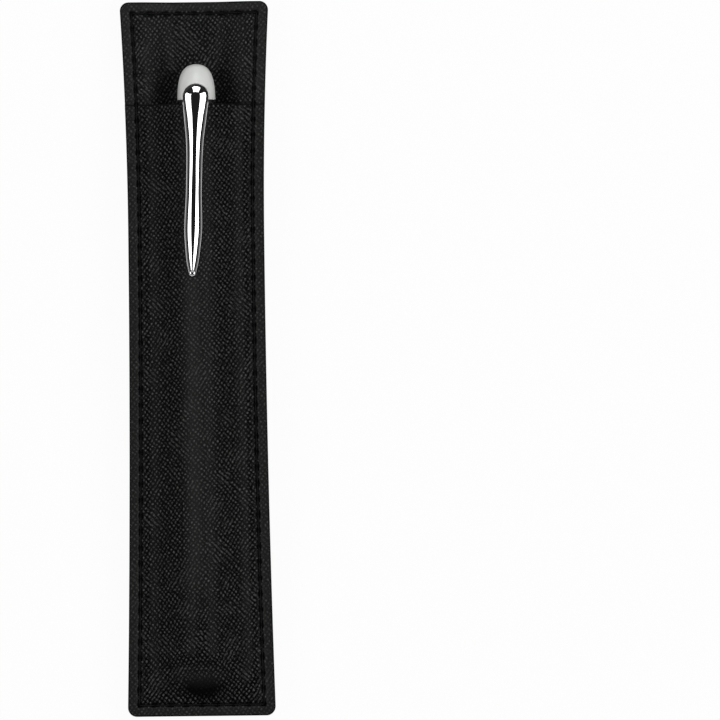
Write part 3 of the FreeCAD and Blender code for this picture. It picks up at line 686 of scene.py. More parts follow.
CLEAR = HardFinish(
    "clear_tube", "clear_plastic", (0.93, 0.95, 0.96), (0.88, 0.91, 0.93), (0.03, 0.08), clear=1.0
)
RUBBER = HardFinish(
    "seal_rubber", "seal_rubber", (0.014, 0.014, 0.014), (0.024, 0.023, 0.022), (0.55, 0.75),
    depth=0.012 * MM
)


def finish_piece(piece: Piece, body: str, nodes: Iterable[str], *finishes: Finish) -> None:
    """Dresses a piece, sets it in for CAD nodes and lets it ride on their body.

    Args:
        piece: The new piece.
        body: The body that it moves with.
        nodes: The CAD nodes that it stands for.
        finishes: One finish for each of its material slots.
    """
    piece.data.materials.clear()
    for finish in finishes:
        piece.data.materials.append(finish.material())
    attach(piece, body)
    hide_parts(*nodes)
    log.info("%s rides on %s: %d faces", piece.name, body, len(piece.data.polygons))


@dataclass(frozen=True)
class SleeveForm:
    """How the sleeve lies round the pen: its outline and its two outer faces, as formulas.

    Attributes:
        top: Far end beyond the mouth.
        bottom: Closed end.
        mouth: Where the pocket opens.
        crest: Height of the pocket's ridge over the cap.
        pen_x: The pen's axis, off the case's middle line.
        pen_z: Height of the pen's axis.
        lip: Where the cap ends and the barrel starts to taper.
        tail: The pen's tail end.
        tail_length: Length of the pen's rounded tail.
        waist_drop: How far the waist lies below the top.
        width: Width at the waist, the top and the bottom.
        margin_lift: Height of the sewn margins there.
        margin: Width of the sewn margins.
        corner: Radius of the case's corners.
        back_flat: Width of the strip that the case lies on.
        flat_trim: How much of the back's bulge that strip takes off.
        top_curl: How far the back lifts towards the top.
        tail_slim: How much lower the ridge is at the pen's tail.
        back_stack: Thickness of the sheets behind the pen.
        full_stack: Thickness of all sheets in the margins.
        tuck_depth: Depth of the dent below the pen's tail.
        tuck_drop: How far below the tail it lies.
        tuck_reach: How far it spreads across and along.
        tuck_shade: How far the grain's light glints are taken out of the dent, darkening it as painted shade.
        stretch_shift: How far the stretched band, with its painted sheen, lies off the pen's axis.
        stretch_reach: How far the band spreads to its sides.
        stretch_end: How far above the tail the band ends.
        stretch_fade: Length over which it fades there.
        fit_slack: How far the ridge may dip below a round about the pen's axis.
        fit_step: Step in which its flat top is widened until it clears the pen.
        fit_points: Number of places across the pen where it is tried.
        fit_rows: Number of rows along the case where it is tried.
    """

    top: float
    bottom: float
    mouth: float
    crest: float
    pen_x: float
    pen_z: float
    lip: float
    tail: float
    tail_length: float = 3.5 * MM
    waist_drop: float = 55.0 * MM
    width: tuple[float, float, float] = (32.3 * MM, 35.5 * MM, 35.2 * MM)
    margin_lift: tuple[float, float, float] = (5.2 * MM, 3.2 * MM, 2.8 * MM)
    margin: float = 3.6 * MM
    corner: float = 2.2 * MM
    back_flat: float = 9.0 * MM
    flat_trim: float = 0.05 * MM
    top_curl: float = 0.3 * MM
    tail_slim: float = 0.5 * MM
    back_stack: float = 2.1 * MM
    full_stack: float = 3.3 * MM
    tuck_depth: float = 0.45 * MM
    tuck_drop: float = 5.2 * MM
    tuck_reach: tuple[float, float] = (5.4 * MM, 2.9 * MM)
    tuck_shade: float = 0.86
    stretch_shift: float = -0.7 * MM
    stretch_reach: float = 2.1 * MM
    stretch_end: float = 5.0 * MM
    stretch_fade: float = 24.0 * MM
    fit_slack: float = 0.02 * MM
    fit_step: float = 0.02 * MM
    fit_points: int = 60
    fit_rows: int = 30

    def towards_ends(self, y: Array, sizes: tuple[float, float, float]) -> Array:
        """Size that runs by parabolas from the waist to the two ends.

        Args:
            y: Places along the case.
            sizes: The size at the waist, the top and the bottom.

        Returns:
            The sizes at those places.
        """
        waist_y = self.top - self.waist_drop
        up = np.clip((y - waist_y) / (self.top - waist_y), 0.0, None)
        down = np.clip((waist_y - y) / (waist_y - self.bottom), 0.0, None)
        waist, top, bottom = sizes
        return waist + (top - waist) * up**2 + (bottom - waist) * down**2

    def edge_half(self, y: Array) -> Array:
        """Half the case's width, before its corners are rounded."""
        return self.towards_ends(y, self.width) / 2

    def cut_half(self, y: Array, high_end: float) -> Array:
        """Half a sheet's width with the case's rounded corners.

        Args:
            y: Places along the case.
            high_end: Where the sheet ends; only the case's own ends have rounded corners.

        Returns:
            The half-widths.
        """
        rise = np.minimum(y - self.bottom, self.top - y if high_end == self.top else np.inf)
        short = np.clip(self.corner - rise, 0.0, self.corner)
        return self.edge_half(y) - self.corner + np.sqrt(self.corner**2 - short**2)

    def bell_half(self, y: Array) -> Array:
        """Half the width between the flat sewn margins."""
        return self.edge_half(y) - self.margin

    def fullness(self, y: Array) -> Array:
        """1 beside the pen, falling to 0 at the bottom seam."""
        low = self.bottom + self.margin
        return ease((y - low) / (self.tail + self.tail_length - low))

    def back_height(self, x: Array, y: Array) -> Array:
        """Height of the back cover's outer face.

        Args:
            x: Places across the case.
            y: Places along the case.

        Returns:
            The heights there.
        """
        curl = self.top_curl * (np.clip(y - self.mouth, 0.0, None) / (self.top - self.mouth)) ** 2
        margin = self.towards_ends(y, self.margin_lift)
        depth = (margin + self.flat_trim - curl) * self.fullness(y)
        rise = ease((np.abs(x) - self.back_flat / 2) / (self.bell_half(y) - self.back_flat / 2))
        return np.maximum(margin - depth * (1 - rise), 0.0)

    def facing_height(self, x: Array, y: Array) -> Array:
        """Height of the facing's upper face."""
        thickness = self.back_stack * np.hypot(1.0, slope_across(self.back_height, x, y))
        return self.back_height(x, y) + thickness

    def ridge_rise(self, y: Array) -> Array:
        """Height of the pocket's ridge over its margins."""
        slim = self.tail_slim * np.clip((self.lip - y) / (self.lip - self.tail), 0.0, 1.0)
        return self.crest - slim - self.towards_ends(y, self.margin_lift) - self.full_stack

    @cached_property
    def ridge_flats(self) -> tuple[Array, Array]:
        """Finds the narrowest flat top of the ridge that clears the pen.

        Returns:
            Places along the case, and half the flat top's width there.
        """
        radius = self.crest - self.pen_z
        reach = np.linspace(0.0, radius, self.fit_points, endpoint=False)
        drop = radius - np.sqrt(radius**2 - reach**2) + self.fit_slack
        tries = np.arange(0.0, radius, self.fit_step)
        places = np.linspace(self.bottom, self.mouth, self.fit_rows)
        flats = []
        for y in places:
            runs = self.bell_half(y) - self.pen_x - tries
            falls = self.ridge_rise(y) * ease((reach[None, :] - tries[:, None]) / runs[:, None])
            flats.append(tries[np.argmax(np.all(falls <= drop, axis=1))])
        return places, np.asarray(flats)

    def pocket_height(self, x: Array, y: Array) -> Array:
        """Height of the pocket panel's outer face.

        Args:
            x: Places across the case.
            y: Places along the case.

        Returns:
            The heights there.
        """
        margin = self.towards_ends(y, self.margin_lift) + self.full_stack
        flat = np.interp(y, *self.ridge_flats)
        off_axis = x - self.pen_x
        run = self.bell_half(y) - np.copysign(self.pen_x, off_axis) - flat
        fall = ease((np.abs(off_axis) - flat) / run)
        ridge = self.ridge_rise(y) * self.fullness(y) * (1 - fall)
        return margin + ridge - self.tuck_depth * self.tuck(x, y)

    def tuck(self, x: Array, y: Array) -> Array:
        """1 in the small dent where the pocket is drawn down below the pen's tail, and 0 away from it."""
        across, along = self.tuck_reach
        return bell(np.hypot((x - self.pen_x) / across, (y - self.tail + self.tuck_drop) / along), 1.0)

    def stretch_sheen(self, x: Array, y: Array) -> Array:
        """1 where the pocket is pulled smooth over the pen and its colour carries a painted sheen, fading
        towards its tail and to its sides.
        """
        fade = ease((y - self.tail - self.stretch_end) / self.stretch_fade)
        return fade * bell(x - self.pen_x - self.stretch_shift, self.stretch_reach)

    def inset(self, x: Array, y: Array, high_end: float) -> Array:
        """Distance of places on a sheet from its cut edge.

        Args:
            x: Places across the case.
            y: Places along the case.
            high_end: Where the sheet ends towards the top.

        Returns:
            The distances.
        """
        side = self.edge_half(y) - np.abs(x)
        end = np.minimum(y - self.bottom, high_end - y)
        rounded = (y - self.bottom < self.corner) | (self.top - y < self.corner)
        arc = self.corner - np.hypot(self.corner - side, self.corner - end)
        in_corner = rounded & (side < self.corner) & (end < self.corner)
        return np.clip(np.where(in_corner, arc, np.minimum(side, end)), 0.0, None)


@dataclass(frozen=True)
class Seam:
    """The line of stitches round the case and the channel that they press into the leather.

    Attributes:
        form: How the sleeve lies.
        inset: Distance of the stitches from the case's edge.
        pitch: Distance from needle hole to needle hole.
        groove: Depth of the channel.
        groove_reach: How far the channel spreads.
        pit: How much deeper the leather is pulled in at a needle hole.
        pit_reach: How far a pit spreads across and along the line.
        pillow: Height of the soft pillow beside the channel.
        pillow_away: How far from the line it lies.
        pillow_reach: How far it spreads.
        shade_reach: Half-width of the channel's band of flattened grain and painted shade, and what a needle
            hole adds to it.
        shade_length: How far along the line a needle hole widens the band.
        thread: The thread's radius.
        thread_sink: How far a stitch lies sunk in the face.
        thread_dive: How much deeper its ends lie.
        dive_power: Power that keeps a stitch level up to its ends.
        ply_groove: Depth of the groove between the two plies, as a share of the radius.
        twist: Turns of the plies in one stitch.
        rings: Rings of vertices along a stitch.
        sides: Vertices in a ring.
    """

    form: SleeveForm
    inset: float = 2.7 * MM
    pitch: float = 3.75 * MM
    groove: float = 0.30 * MM
    groove_reach: float = 0.50 * MM
    pit: float = 0.34 * MM
    pit_reach: tuple[float, float] = (0.42 * MM, 0.546 * MM)
    pillow: float = 0.07 * MM
    pillow_away: float = 1.3 * MM
    pillow_reach: float = 0.6 * MM
    shade_reach: tuple[float, float] = (0.135 * MM, 0.55 * MM)
    shade_length: float = 0.84 * MM
    thread: float = 0.25 * MM
    thread_sink: float = 0.08 * MM
    thread_dive: float = 0.50 * MM
    dive_power: float = 0.4
    ply_groove: float = 0.3
    twist: float = 2.0
    rings: int = 15
    sides: int = 10

    def spaced(self, start: float, stop: float) -> Array:
        """Needle holes from start to stop, about one pitch apart."""
        return np.linspace(start, stop, round((stop - start) / self.pitch) + 1)

    @cached_property
    def low_ys(self) -> Array:
        """Needle holes along a side, from the bottom row to the mouth."""
        return self.spaced(self.form.bottom + self.inset, self.form.mouth)

    @cached_property
    def high_ys(self) -> Array:
        """Needle holes along a side, from the mouth to the top row."""
        return self.spaced(self.form.mouth, self.form.top - self.inset)

    @cached_property
    def side_ys(self) -> Array:
        """All needle holes along a side."""
        return np.concatenate([self.low_ys, self.high_ys[1:]])

    def row_xs(self, y: float) -> Array:
        """Needle holes of the row across the case at y."""
        half = float(self.form.edge_half(np.float64(y))) - self.inset
        return self.spaced(-half, half)

    def runs(self) -> list[Array]:
        """Lists every run of needle holes.

        Returns:
            Places across and along for each run: both sides up to the mouth and beyond it, then both ends.
        """
        runs = []
        for ys in (self.low_ys, self.high_ys):
            half = self.form.edge_half(ys) - self.inset
            runs += [np.column_stack([side * half, ys]) for side in (-1, 1)]
        for y in (self.low_ys[0], self.high_ys[-1]):
            xs = self.row_xs(y)
            runs.append(np.column_stack([xs, np.full_like(xs, y)]))
        return runs

    def away(self, x: Array, y: Array) -> tuple[Array, Array]:
        """How places on the case lie to the line of stitches.

        Args:
            x: Places across the case.
            y: Places along the case.

        Returns:
            Distances from the line, and along it from the nearest needle hole.
        """
        low, high = self.low_ys[0], self.high_ys[-1]
        side = self.form.edge_half(y) - np.abs(x) - self.inset
        end = np.minimum(y - low, high - y)
        off_side = np.hypot(side, np.clip(-end, 0.0, None))
        off_end = np.hypot(end, np.clip(-side, 0.0, None))
        along_side = np.abs(y[..., None] - self.side_ys).min(axis=-1)
        pace = 2 * (self.form.edge_half(np.float64(low)) - self.inset) / (len(self.row_xs(low)) - 1)
        phase = (x + self.form.edge_half(y) - self.inset) / pace
        along_end = np.abs(phase - np.round(phase)) * pace
        return np.minimum(off_side, off_end), np.where(off_side < off_end, along_side, along_end)

    def press(self, x: Array, y: Array) -> Array:
        """How far the stitches pull a face in: a channel with a pit at each needle hole, and soft pillows.

        Args:
            x: Places across the case.
            y: Places along the case.

        Returns:
            Depths, which are below zero on the pillows.
        """
        away, along = self.away(x, y)
        pits = self.pit * bell(away, self.pit_reach[0]) * bell(along, self.pit_reach[1])
        pillow = self.pillow * bell(away - self.pillow_away, self.pillow_reach)
        return self.groove * bell(away, self.groove_reach) + pits - pillow

    def shade(self, x: Array, y: Array) -> Array:
        """Marks the channel, where the grain is pressed flat and the colour carries painted shade.

        Args:
            x: Places across the case.
            y: Places along the case.

        Returns:
            1 on the line of stitches, spreading out round each needle hole, and 0 away from it.
        """
        away, along = self.away(x, y)
        narrow, added = self.shade_reach
        return bell(away, narrow + added * bell(along, self.shade_length))

    def stitches(self, face: Height, side: int, name: str) -> Piece:
        """Two-ply stitches that dip into their needle holes on one face of the case.

        Args:
            face: Height of the face that they lie on.
            side: +1 on top of the face, -1 under it.
            name: The piece's name.

        Returns:
            One mesh with every stitch.
        """
        t = np.linspace(0.0, 1.0, self.rings)
        around = np.linspace(0.0, 2 * np.pi, self.sides, endpoint=False)
        lobes = around[None, :] - 2 * np.pi * self.twist * t[:, None]
        radius = self.thread * (1.0 - self.ply_groove * np.sin(lobes) ** 2)
        dip = self.thread_dive * (1.0 - np.sin(np.pi * t) ** self.dive_power)
        verts, faces = [], []
        for run in self.runs():
            for a, b in zip(run, run[1:]):
                line = a + (b - a) * t[:, None]
                heading = (b - a) / np.linalg.norm(b - a)
                beside = np.array([-heading[1], heading[0]])
                level = face(line[:, 0], line[:, 1]) - side * (self.thread_sink + dip)
                flat = line[:, None, :] + (radius * np.cos(around))[..., None] * beside
                lift = level[:, None] + radius * np.sin(around)
                faces += grid_faces(self.rings, self.sides, len(verts) * self.rings * self.sides, True)
                verts.append(np.concatenate([flat, lift[..., None]], axis=-1))
        return make_piece(name, np.concatenate(verts).reshape(-1, 3), faces)


class Pressed(Enum):
    """Which face of a sheet the seam presses in."""

    NEITHER = 0
    NEAR = 1
    FAR = 2


@dataclass(frozen=True)
class Sheet:
    """One sheet of the sleeve, cut to the outline and laid along one of its outer faces.

    Attributes:
        name: The piece's name.
        node: The CAD node that it stands for.
        finishes: Finishes of its showing face and of its back.
        face: Height of the outer face that it follows.
        inwards: +1 where it lies above that face, -1 below.
        start: Depth of its near face inside the outer face.
        thickness: How thick it is.
        high_end: Where it ends towards the top.
        fine_from: Where its rows get close enough for needle holes.
        pressed: Which of its faces the seam presses in.
        edge_round: Radius of its cut edges.
        edge_share: Most that a rounded edge takes of the thickness.
        edge_steps: Distances of its outermost columns and rows from the edge.
        bell_columns: Number of columns between the margins.
        rows_per_stitch: Number of rows from one needle hole to the next.
        coarse_row: Distance of its rows where no needle holes show.
        wrap: How far its finish follows the curved face, from the flat view to the developed sheet.
    """

    name: str
    node: str
    finishes: tuple[Finish, Finish]
    face: Height
    inwards: int
    start: float
    thickness: float
    high_end: float
    fine_from: float
    pressed: Pressed
    edge_round: float = 0.32 * MM
    edge_share: float = 0.45
    edge_steps: tuple[float, ...] = tuple(
        MM * step
        for step in (0.0, 0.03, 0.1, 0.2, 0.32, 0.55, 0.95, 1.35, 1.7, 2.0, 2.25, 2.5, 2.7, 2.9, 3.15)
    )
    bell_columns: int = 47
    rows_per_stitch: int = 7
    coarse_row: float = 2.5 * MM
    wrap: float = 0.3

    def rows(self, seam: Seam) -> Array:
        """Spaces out the sheet's rows of vertices.

        Args:
            seam: The case's seam.

        Returns:
            Their places along the case.
        """
        ends = np.asarray(self.edge_steps)
        low, high = seam.form.bottom + ends, self.high_end - ends[::-1]
        holes = seam.side_ys
        stitches = np.arange(0, len(holes) - 1, 1.0 / self.rows_per_stitch)
        fine = np.interp(stitches, np.arange(len(holes)), holes)
        coarse = np.arange(low[-1], high[0], self.coarse_row)
        body = np.concatenate([coarse[coarse < self.fine_from], fine[fine >= self.fine_from]])
        return np.concatenate([low, body[(body > low[-1]) & (body < high[0])], high])

    def build(self, seam: Seam) -> Piece:
        """Closed mesh of the sheet with rounded edges and its seam pressed in.

        Args:
            seam: The case's seam.

        Returns:
            The piece.
        """
        form = seam.form
        steps = np.asarray(self.edge_steps)
        ys = self.rows(seam)
        half = form.cut_half(ys, self.high_end)[:, None]
        middle = np.linspace(-1.0, 1.0, self.bell_columns)[None, :] * (half - form.margin)
        x = np.concatenate([steps[None, :] - half, middle, half - steps[None, ::-1]], axis=1)
        y = np.repeat(ys[:, None], x.shape[1], axis=1)
        inset = form.inset(x, y, self.high_end)
        rounding = min(self.edge_round, self.edge_share * self.thickness)
        shy = np.clip(rounding - inset, 0.0, rounding)
        eased = rounding - np.sqrt(rounding**2 - shy**2)
        press = seam.press(x, y)
        near = self.start + eased + press * (self.pressed is Pressed.NEAR)
        far = self.start + self.thickness - eased - press * (self.pressed is Pressed.FAR)
        slope = slope_across(self.face, x, y)
        base = self.face(x, y)
        layers = []
        for depth in (near, far):
            out = self.inwards * depth / np.hypot(1.0, slope)
            layers.append(np.stack([x - slope * out, y, base + out], axis=-1))
        # Painted shade: the seam's channel and the dent below the pen's tail lose the grain's light glints
        # and so darken.
        sewn = np.maximum(seam.shade(x, y), form.tuck_shade * form.tuck(x, y))
        # Painted sheen where the pen pulls the pocket smooth.
        stretch_sheen = form.stretch_sheen(x, y) * (self.inwards < 0)
        return self.close(layers, inset, np.stack([sewn, form.inset(x, y, form.top), stretch_sheen], axis=-1))

    def close(self, layers: list[Array], inset: Array, strain: Array) -> Piece:
        """Joins a sheet's two faces along its edge.

        Args:
            layers: Vertex grids of the near and the far face.
            inset: Distance of each vertex from the cut edge.
            strain: How near each vertex is to the stitches and the dent, which sets their painted shade, its
                distance from the case's outline and how far the pen stretches the sheet there, which sets its
                painted sheen.

        Returns:
            The finished piece, with its places and its strain as vertex attributes.
        """
        rows, columns = inset.shape
        count = rows * columns
        near_faces = grid_faces(rows, columns)
        far_faces = grid_faces(rows, columns, count)
        border = [r * columns for r in range(rows)] + [count - columns + c for c in range(1, columns)]
        border += [r * columns + columns - 1 for r in range(rows - 2, -1, -1)]
        border += range(columns - 2, 0, -1)
        walls = [(a, b, b + count, a + count) for a, b in zip(border, border[1:] + border[:1])]
        verts = np.concatenate([grid.reshape(-1, 3) for grid in layers])
        piece = make_piece(self.name, verts, near_faces + far_faces + walls)
        back = 0 if self.pressed is Pressed.FAR else len(near_faces)
        slots = np.zeros(len(piece.data.polygons), dtype=np.int32)
        slots[back : back + len(near_faces)] = 1
        piece.data.polygons.foreach_set("material_index", slots)
        places = []
        for grid in layers:
            stride = np.linalg.norm(np.diff(grid[..., [0, 2]], axis=1), axis=-1)
            across = np.concatenate([np.zeros((rows, 1)), np.cumsum(stride, axis=1)], axis=1)
            across -= across[:, columns // 2][:, None]
            across = self.wrap * across + (1.0 - self.wrap) * grid[..., 0]
            places.append(np.stack([across, grid[..., 1], inset], axis=-1))
        for name, values in ((PLACE, places), (STRAIN, [strain, strain])):
            mark = piece.data.attributes.new(name, "FLOAT_VECTOR", "POINT")
            mark.data.foreach_set("vector", np.concatenate(values).astype(np.float32).ravel())
        return piece


@dataclass
class Sleeve:
    """The sewn sleeve: back cover, board, facing, pocket panel, lining and both threads.

    Attributes:
        form: How the sleeve lies.
        cover: Thickness of the back cover.
        board: Thickness of the board behind it.
        facing: Thickness of the facing.
        pocket: Thickness of the pocket panel.
        lining: Thickness of its lining.
        glue: Thickness of the glue between two sheets.
        tucked: How far the facing's fine rows reach into the pocket.
        lining_cut: Width and length of the lining's flat cut; not used.
        lining_area: Area of that cut, which is waisted; not used.
        seam: The line of stitches.
    """

    form: SleeveForm
    cover: float = 0.8 * MM
    board: float = 0.4 * MM
    facing: float = 0.8 * MM
    pocket: float = 0.85 * MM
    lining: float = 0.25 * MM
    glue: float = 0.05 * MM
    tucked: float = 4.0 * MM
    lining_cut: tuple[float, float] = (38.5 * MM, 145.5 * MM)
    lining_area: float = 5300.0 * MM**2
    seam: Seam = field(init=False)

    def __post_init__(self) -> None:
        """Lays the seam out on the form."""
        self.seam = Seam(self.form)

    def sheets(self) -> list[Sheet]:
        """Lists the sheets.

        Returns:
            The sheets, from the back to the pocket.
        """
        form = self.form
        back, front = form.back_height, form.pocket_height
        board_start = self.cover + self.glue
        facing_start = board_start + self.board + self.glue
        lining_start = self.pocket + self.glue
        fine_top = form.mouth - self.tucked
        never = form.top
        return [
            Sheet(
                "back_cover_leather", "back_cover", (BACK_LEATHER, BACKING), back, inwards=1, start=0.0,
                thickness=self.cover, high_end=form.top, fine_from=form.bottom, pressed=Pressed.NEAR,
            ),
            Sheet(
                "back_board", "back_interlining", (BOARD, BOARD), back, inwards=1, start=board_start,
                thickness=self.board, high_end=form.top, fine_from=never, pressed=Pressed.NEITHER,
            ),
            Sheet(
                "inner_facing_leather", "inner_facing", (FACING_LEATHER, BACKING), back, inwards=1,
                start=facing_start, thickness=self.facing, high_end=form.top, fine_from=fine_top,
                pressed=Pressed.FAR,
            ),
            Sheet(
                "pocket_leather", "pocket_panel", (LEATHER, BACKING), front, inwards=-1, start=0.0,
                thickness=self.pocket, high_end=form.mouth, fine_from=form.bottom, pressed=Pressed.NEAR,
            ),
            Sheet(
                "pocket_lining_cloth", "pocket_lining", (LINING, LINING), front, inwards=-1,
                start=lining_start, thickness=self.lining, high_end=form.mouth, fine_from=never,
                pressed=Pressed.NEITHER,
            ),
        ]

    def front_height(self, x: Array, y: Array) -> Array:
        """Height of the face that the front stitches lie on."""
        return np.where(y <= self.form.mouth, self.form.pocket_height(x, y), self.form.facing_height(x, y))

    def build(self) -> None:
        """Builds and dresses every sheet and both threads."""
        for sheet in self.sheets():
            piece = sheet.build(self.seam)
            finish_piece(piece, "sleeve", [sheet.node], *sheet.finishes)
        front = self.seam.stitches(self.front_height, 1, "front_stitches")
        finish_piece(front, "sleeve", ["front_thread"], THREAD)
        back = self.seam.stitches(self.form.back_height, -1, "back_stitches")
        finish_piece(back, "sleeve", ["back_thread"], THREAD)


@dataclass
class CapCrown:
    """Pale dome on the cap, notched in front for the clip's head.

    Attributes:
        axis: The pen's axis at the crown's base.
        height: The dome's height.
        radius: Its radius at the base.
        head_y: Centre of the clip's round head.
        flat_top: Handle of the dome's curve at its tip, in radii.
        upright: Handle of the curve at its base, in heights.
        notch: Half-width of the clip's arched notch.
        notch_floor: Height of the notch's floor over the axis.
        slot_half: Half-width of the knuckle's slot.
        slot_floor: Height of the slot's floor over the axis.
        slot_end: How far the slot reaches up from the base.
        cut_clear: Height of both cuts over the axis, in radii.
        edge: Radius of the rounded edges.
        edge_rows: Rows of faces in a rounded edge.
        edge_angle: Least angle of an edge that is rounded, in degrees.
        around: Vertices in a ring of the dome.
        up: Rings from its tip to its base.
    """

    axis: Vector
    height: float
    radius: float
    head_y: float
    flat_top: float = 0.8
    upright: float = 0.6
    notch: float = 3.25 * MM
    notch_floor: float = 3.45 * MM
    slot_half: float = 1.8 * MM
    slot_floor: float = 1.3 * MM
    slot_end: float = 2.85 * MM
    cut_clear: float = 3.0
    edge: float = 0.22 * MM
    edge_rows: int = 3
    edge_angle: float = 35.0
    around: int = 96
    up: int = 40

    def dome(self) -> Piece:
        """Turns the dome.

        Returns:
            The dome before its cuts, closed underneath.
        """
        curve = interpolate_bezier(
            Vector((0.0, self.height)),
            Vector((self.flat_top * self.radius, self.height)),
            Vector((self.radius, self.upright * self.height)),
            Vector((self.radius, 0.0)),
            self.up,
        )
        turn = np.linspace(0.0, 2 * np.pi, self.around, endpoint=False)
        verts = [(p[0] * math.sin(a), p[1], p[0] * math.cos(a)) for p in curve[1:] for a in turn]
        faces = grid_faces(self.up - 1, self.around, 0, True)
        tip = len(verts)
        verts += [(0.0, self.height, 0.0), (0.0, 0.0, 0.0)]
        last = tip - self.around
        for i in range(self.around):
            j = (i + 1) % self.around
            faces += [(tip, i, j), (tip + 1, last + j, last + i)]
        return make_piece("pale_crown", np.asarray(verts) + np.asarray(self.axis), faces)

    def prism(self, outline: Array, floor: float) -> Piece:
        """Upright cutter over an outline, from a floor above the pen's axis to clear of the dome."""
        ends = (at_height(outline, self.axis.z + z) for z in (floor, self.cut_clear * self.radius))
        return make_piece("cutter", *bar_between(*ends), smooth=False)

    def cutters(self) -> list[Piece]:
        """Makes the two cutters.

        Returns:
            The clip's arched notch and the knuckle's slot.
        """
        below = self.axis.y - self.radius
        end = self.axis.y + self.slot_end
        left, right = self.axis.x - self.slot_half, self.axis.x + self.slot_half
        notch = arch(self.axis.x, self.notch, self.head_y, below)
        slot = np.array([(right, below), (right, end), (left, end), (left, below)])
        return [self.prism(notch, self.notch_floor), self.prism(slot, self.slot_floor)]

    def build(self) -> None:
        """Cuts and rounds the dome, and dresses it."""
        crown = self.dome()
        cutters = self.cutters()
        for cutter in cutters:
            cut = crown.modifiers.new("notch", "BOOLEAN")
            cut.object = cutter
            cut.operation = "DIFFERENCE"
            cut.solver = "EXACT"
        round_off = crown.modifiers.new("edge", "BEVEL")
        round_off.width = self.edge
        round_off.segments = self.edge_rows
        round_off.limit_method = "ANGLE"
        round_off.angle_limit = math.radians(self.edge_angle)
        bake_modifiers(crown)
        for cutter in cutters:
            bpy.data.objects.remove(cutter)
        finish_piece(crown, "cap", ["cap_crown"], PALE)


class ClipStation(NamedTuple):
    """The clip's section at one place along it, in millimetres apart from the share.

    Attributes:
        drop: Distance below the pin.
        half: Half its width.
        top: Height of its top over the clip's seat.
        lift: Height of its hollow underside over the seat.
        flat: Share of the half-width that is flat on top.
        rim: Width of its bevelled edge.
    """

    drop: float
    half: float
    top: float
    lift: float
    flat: float
    rim: float


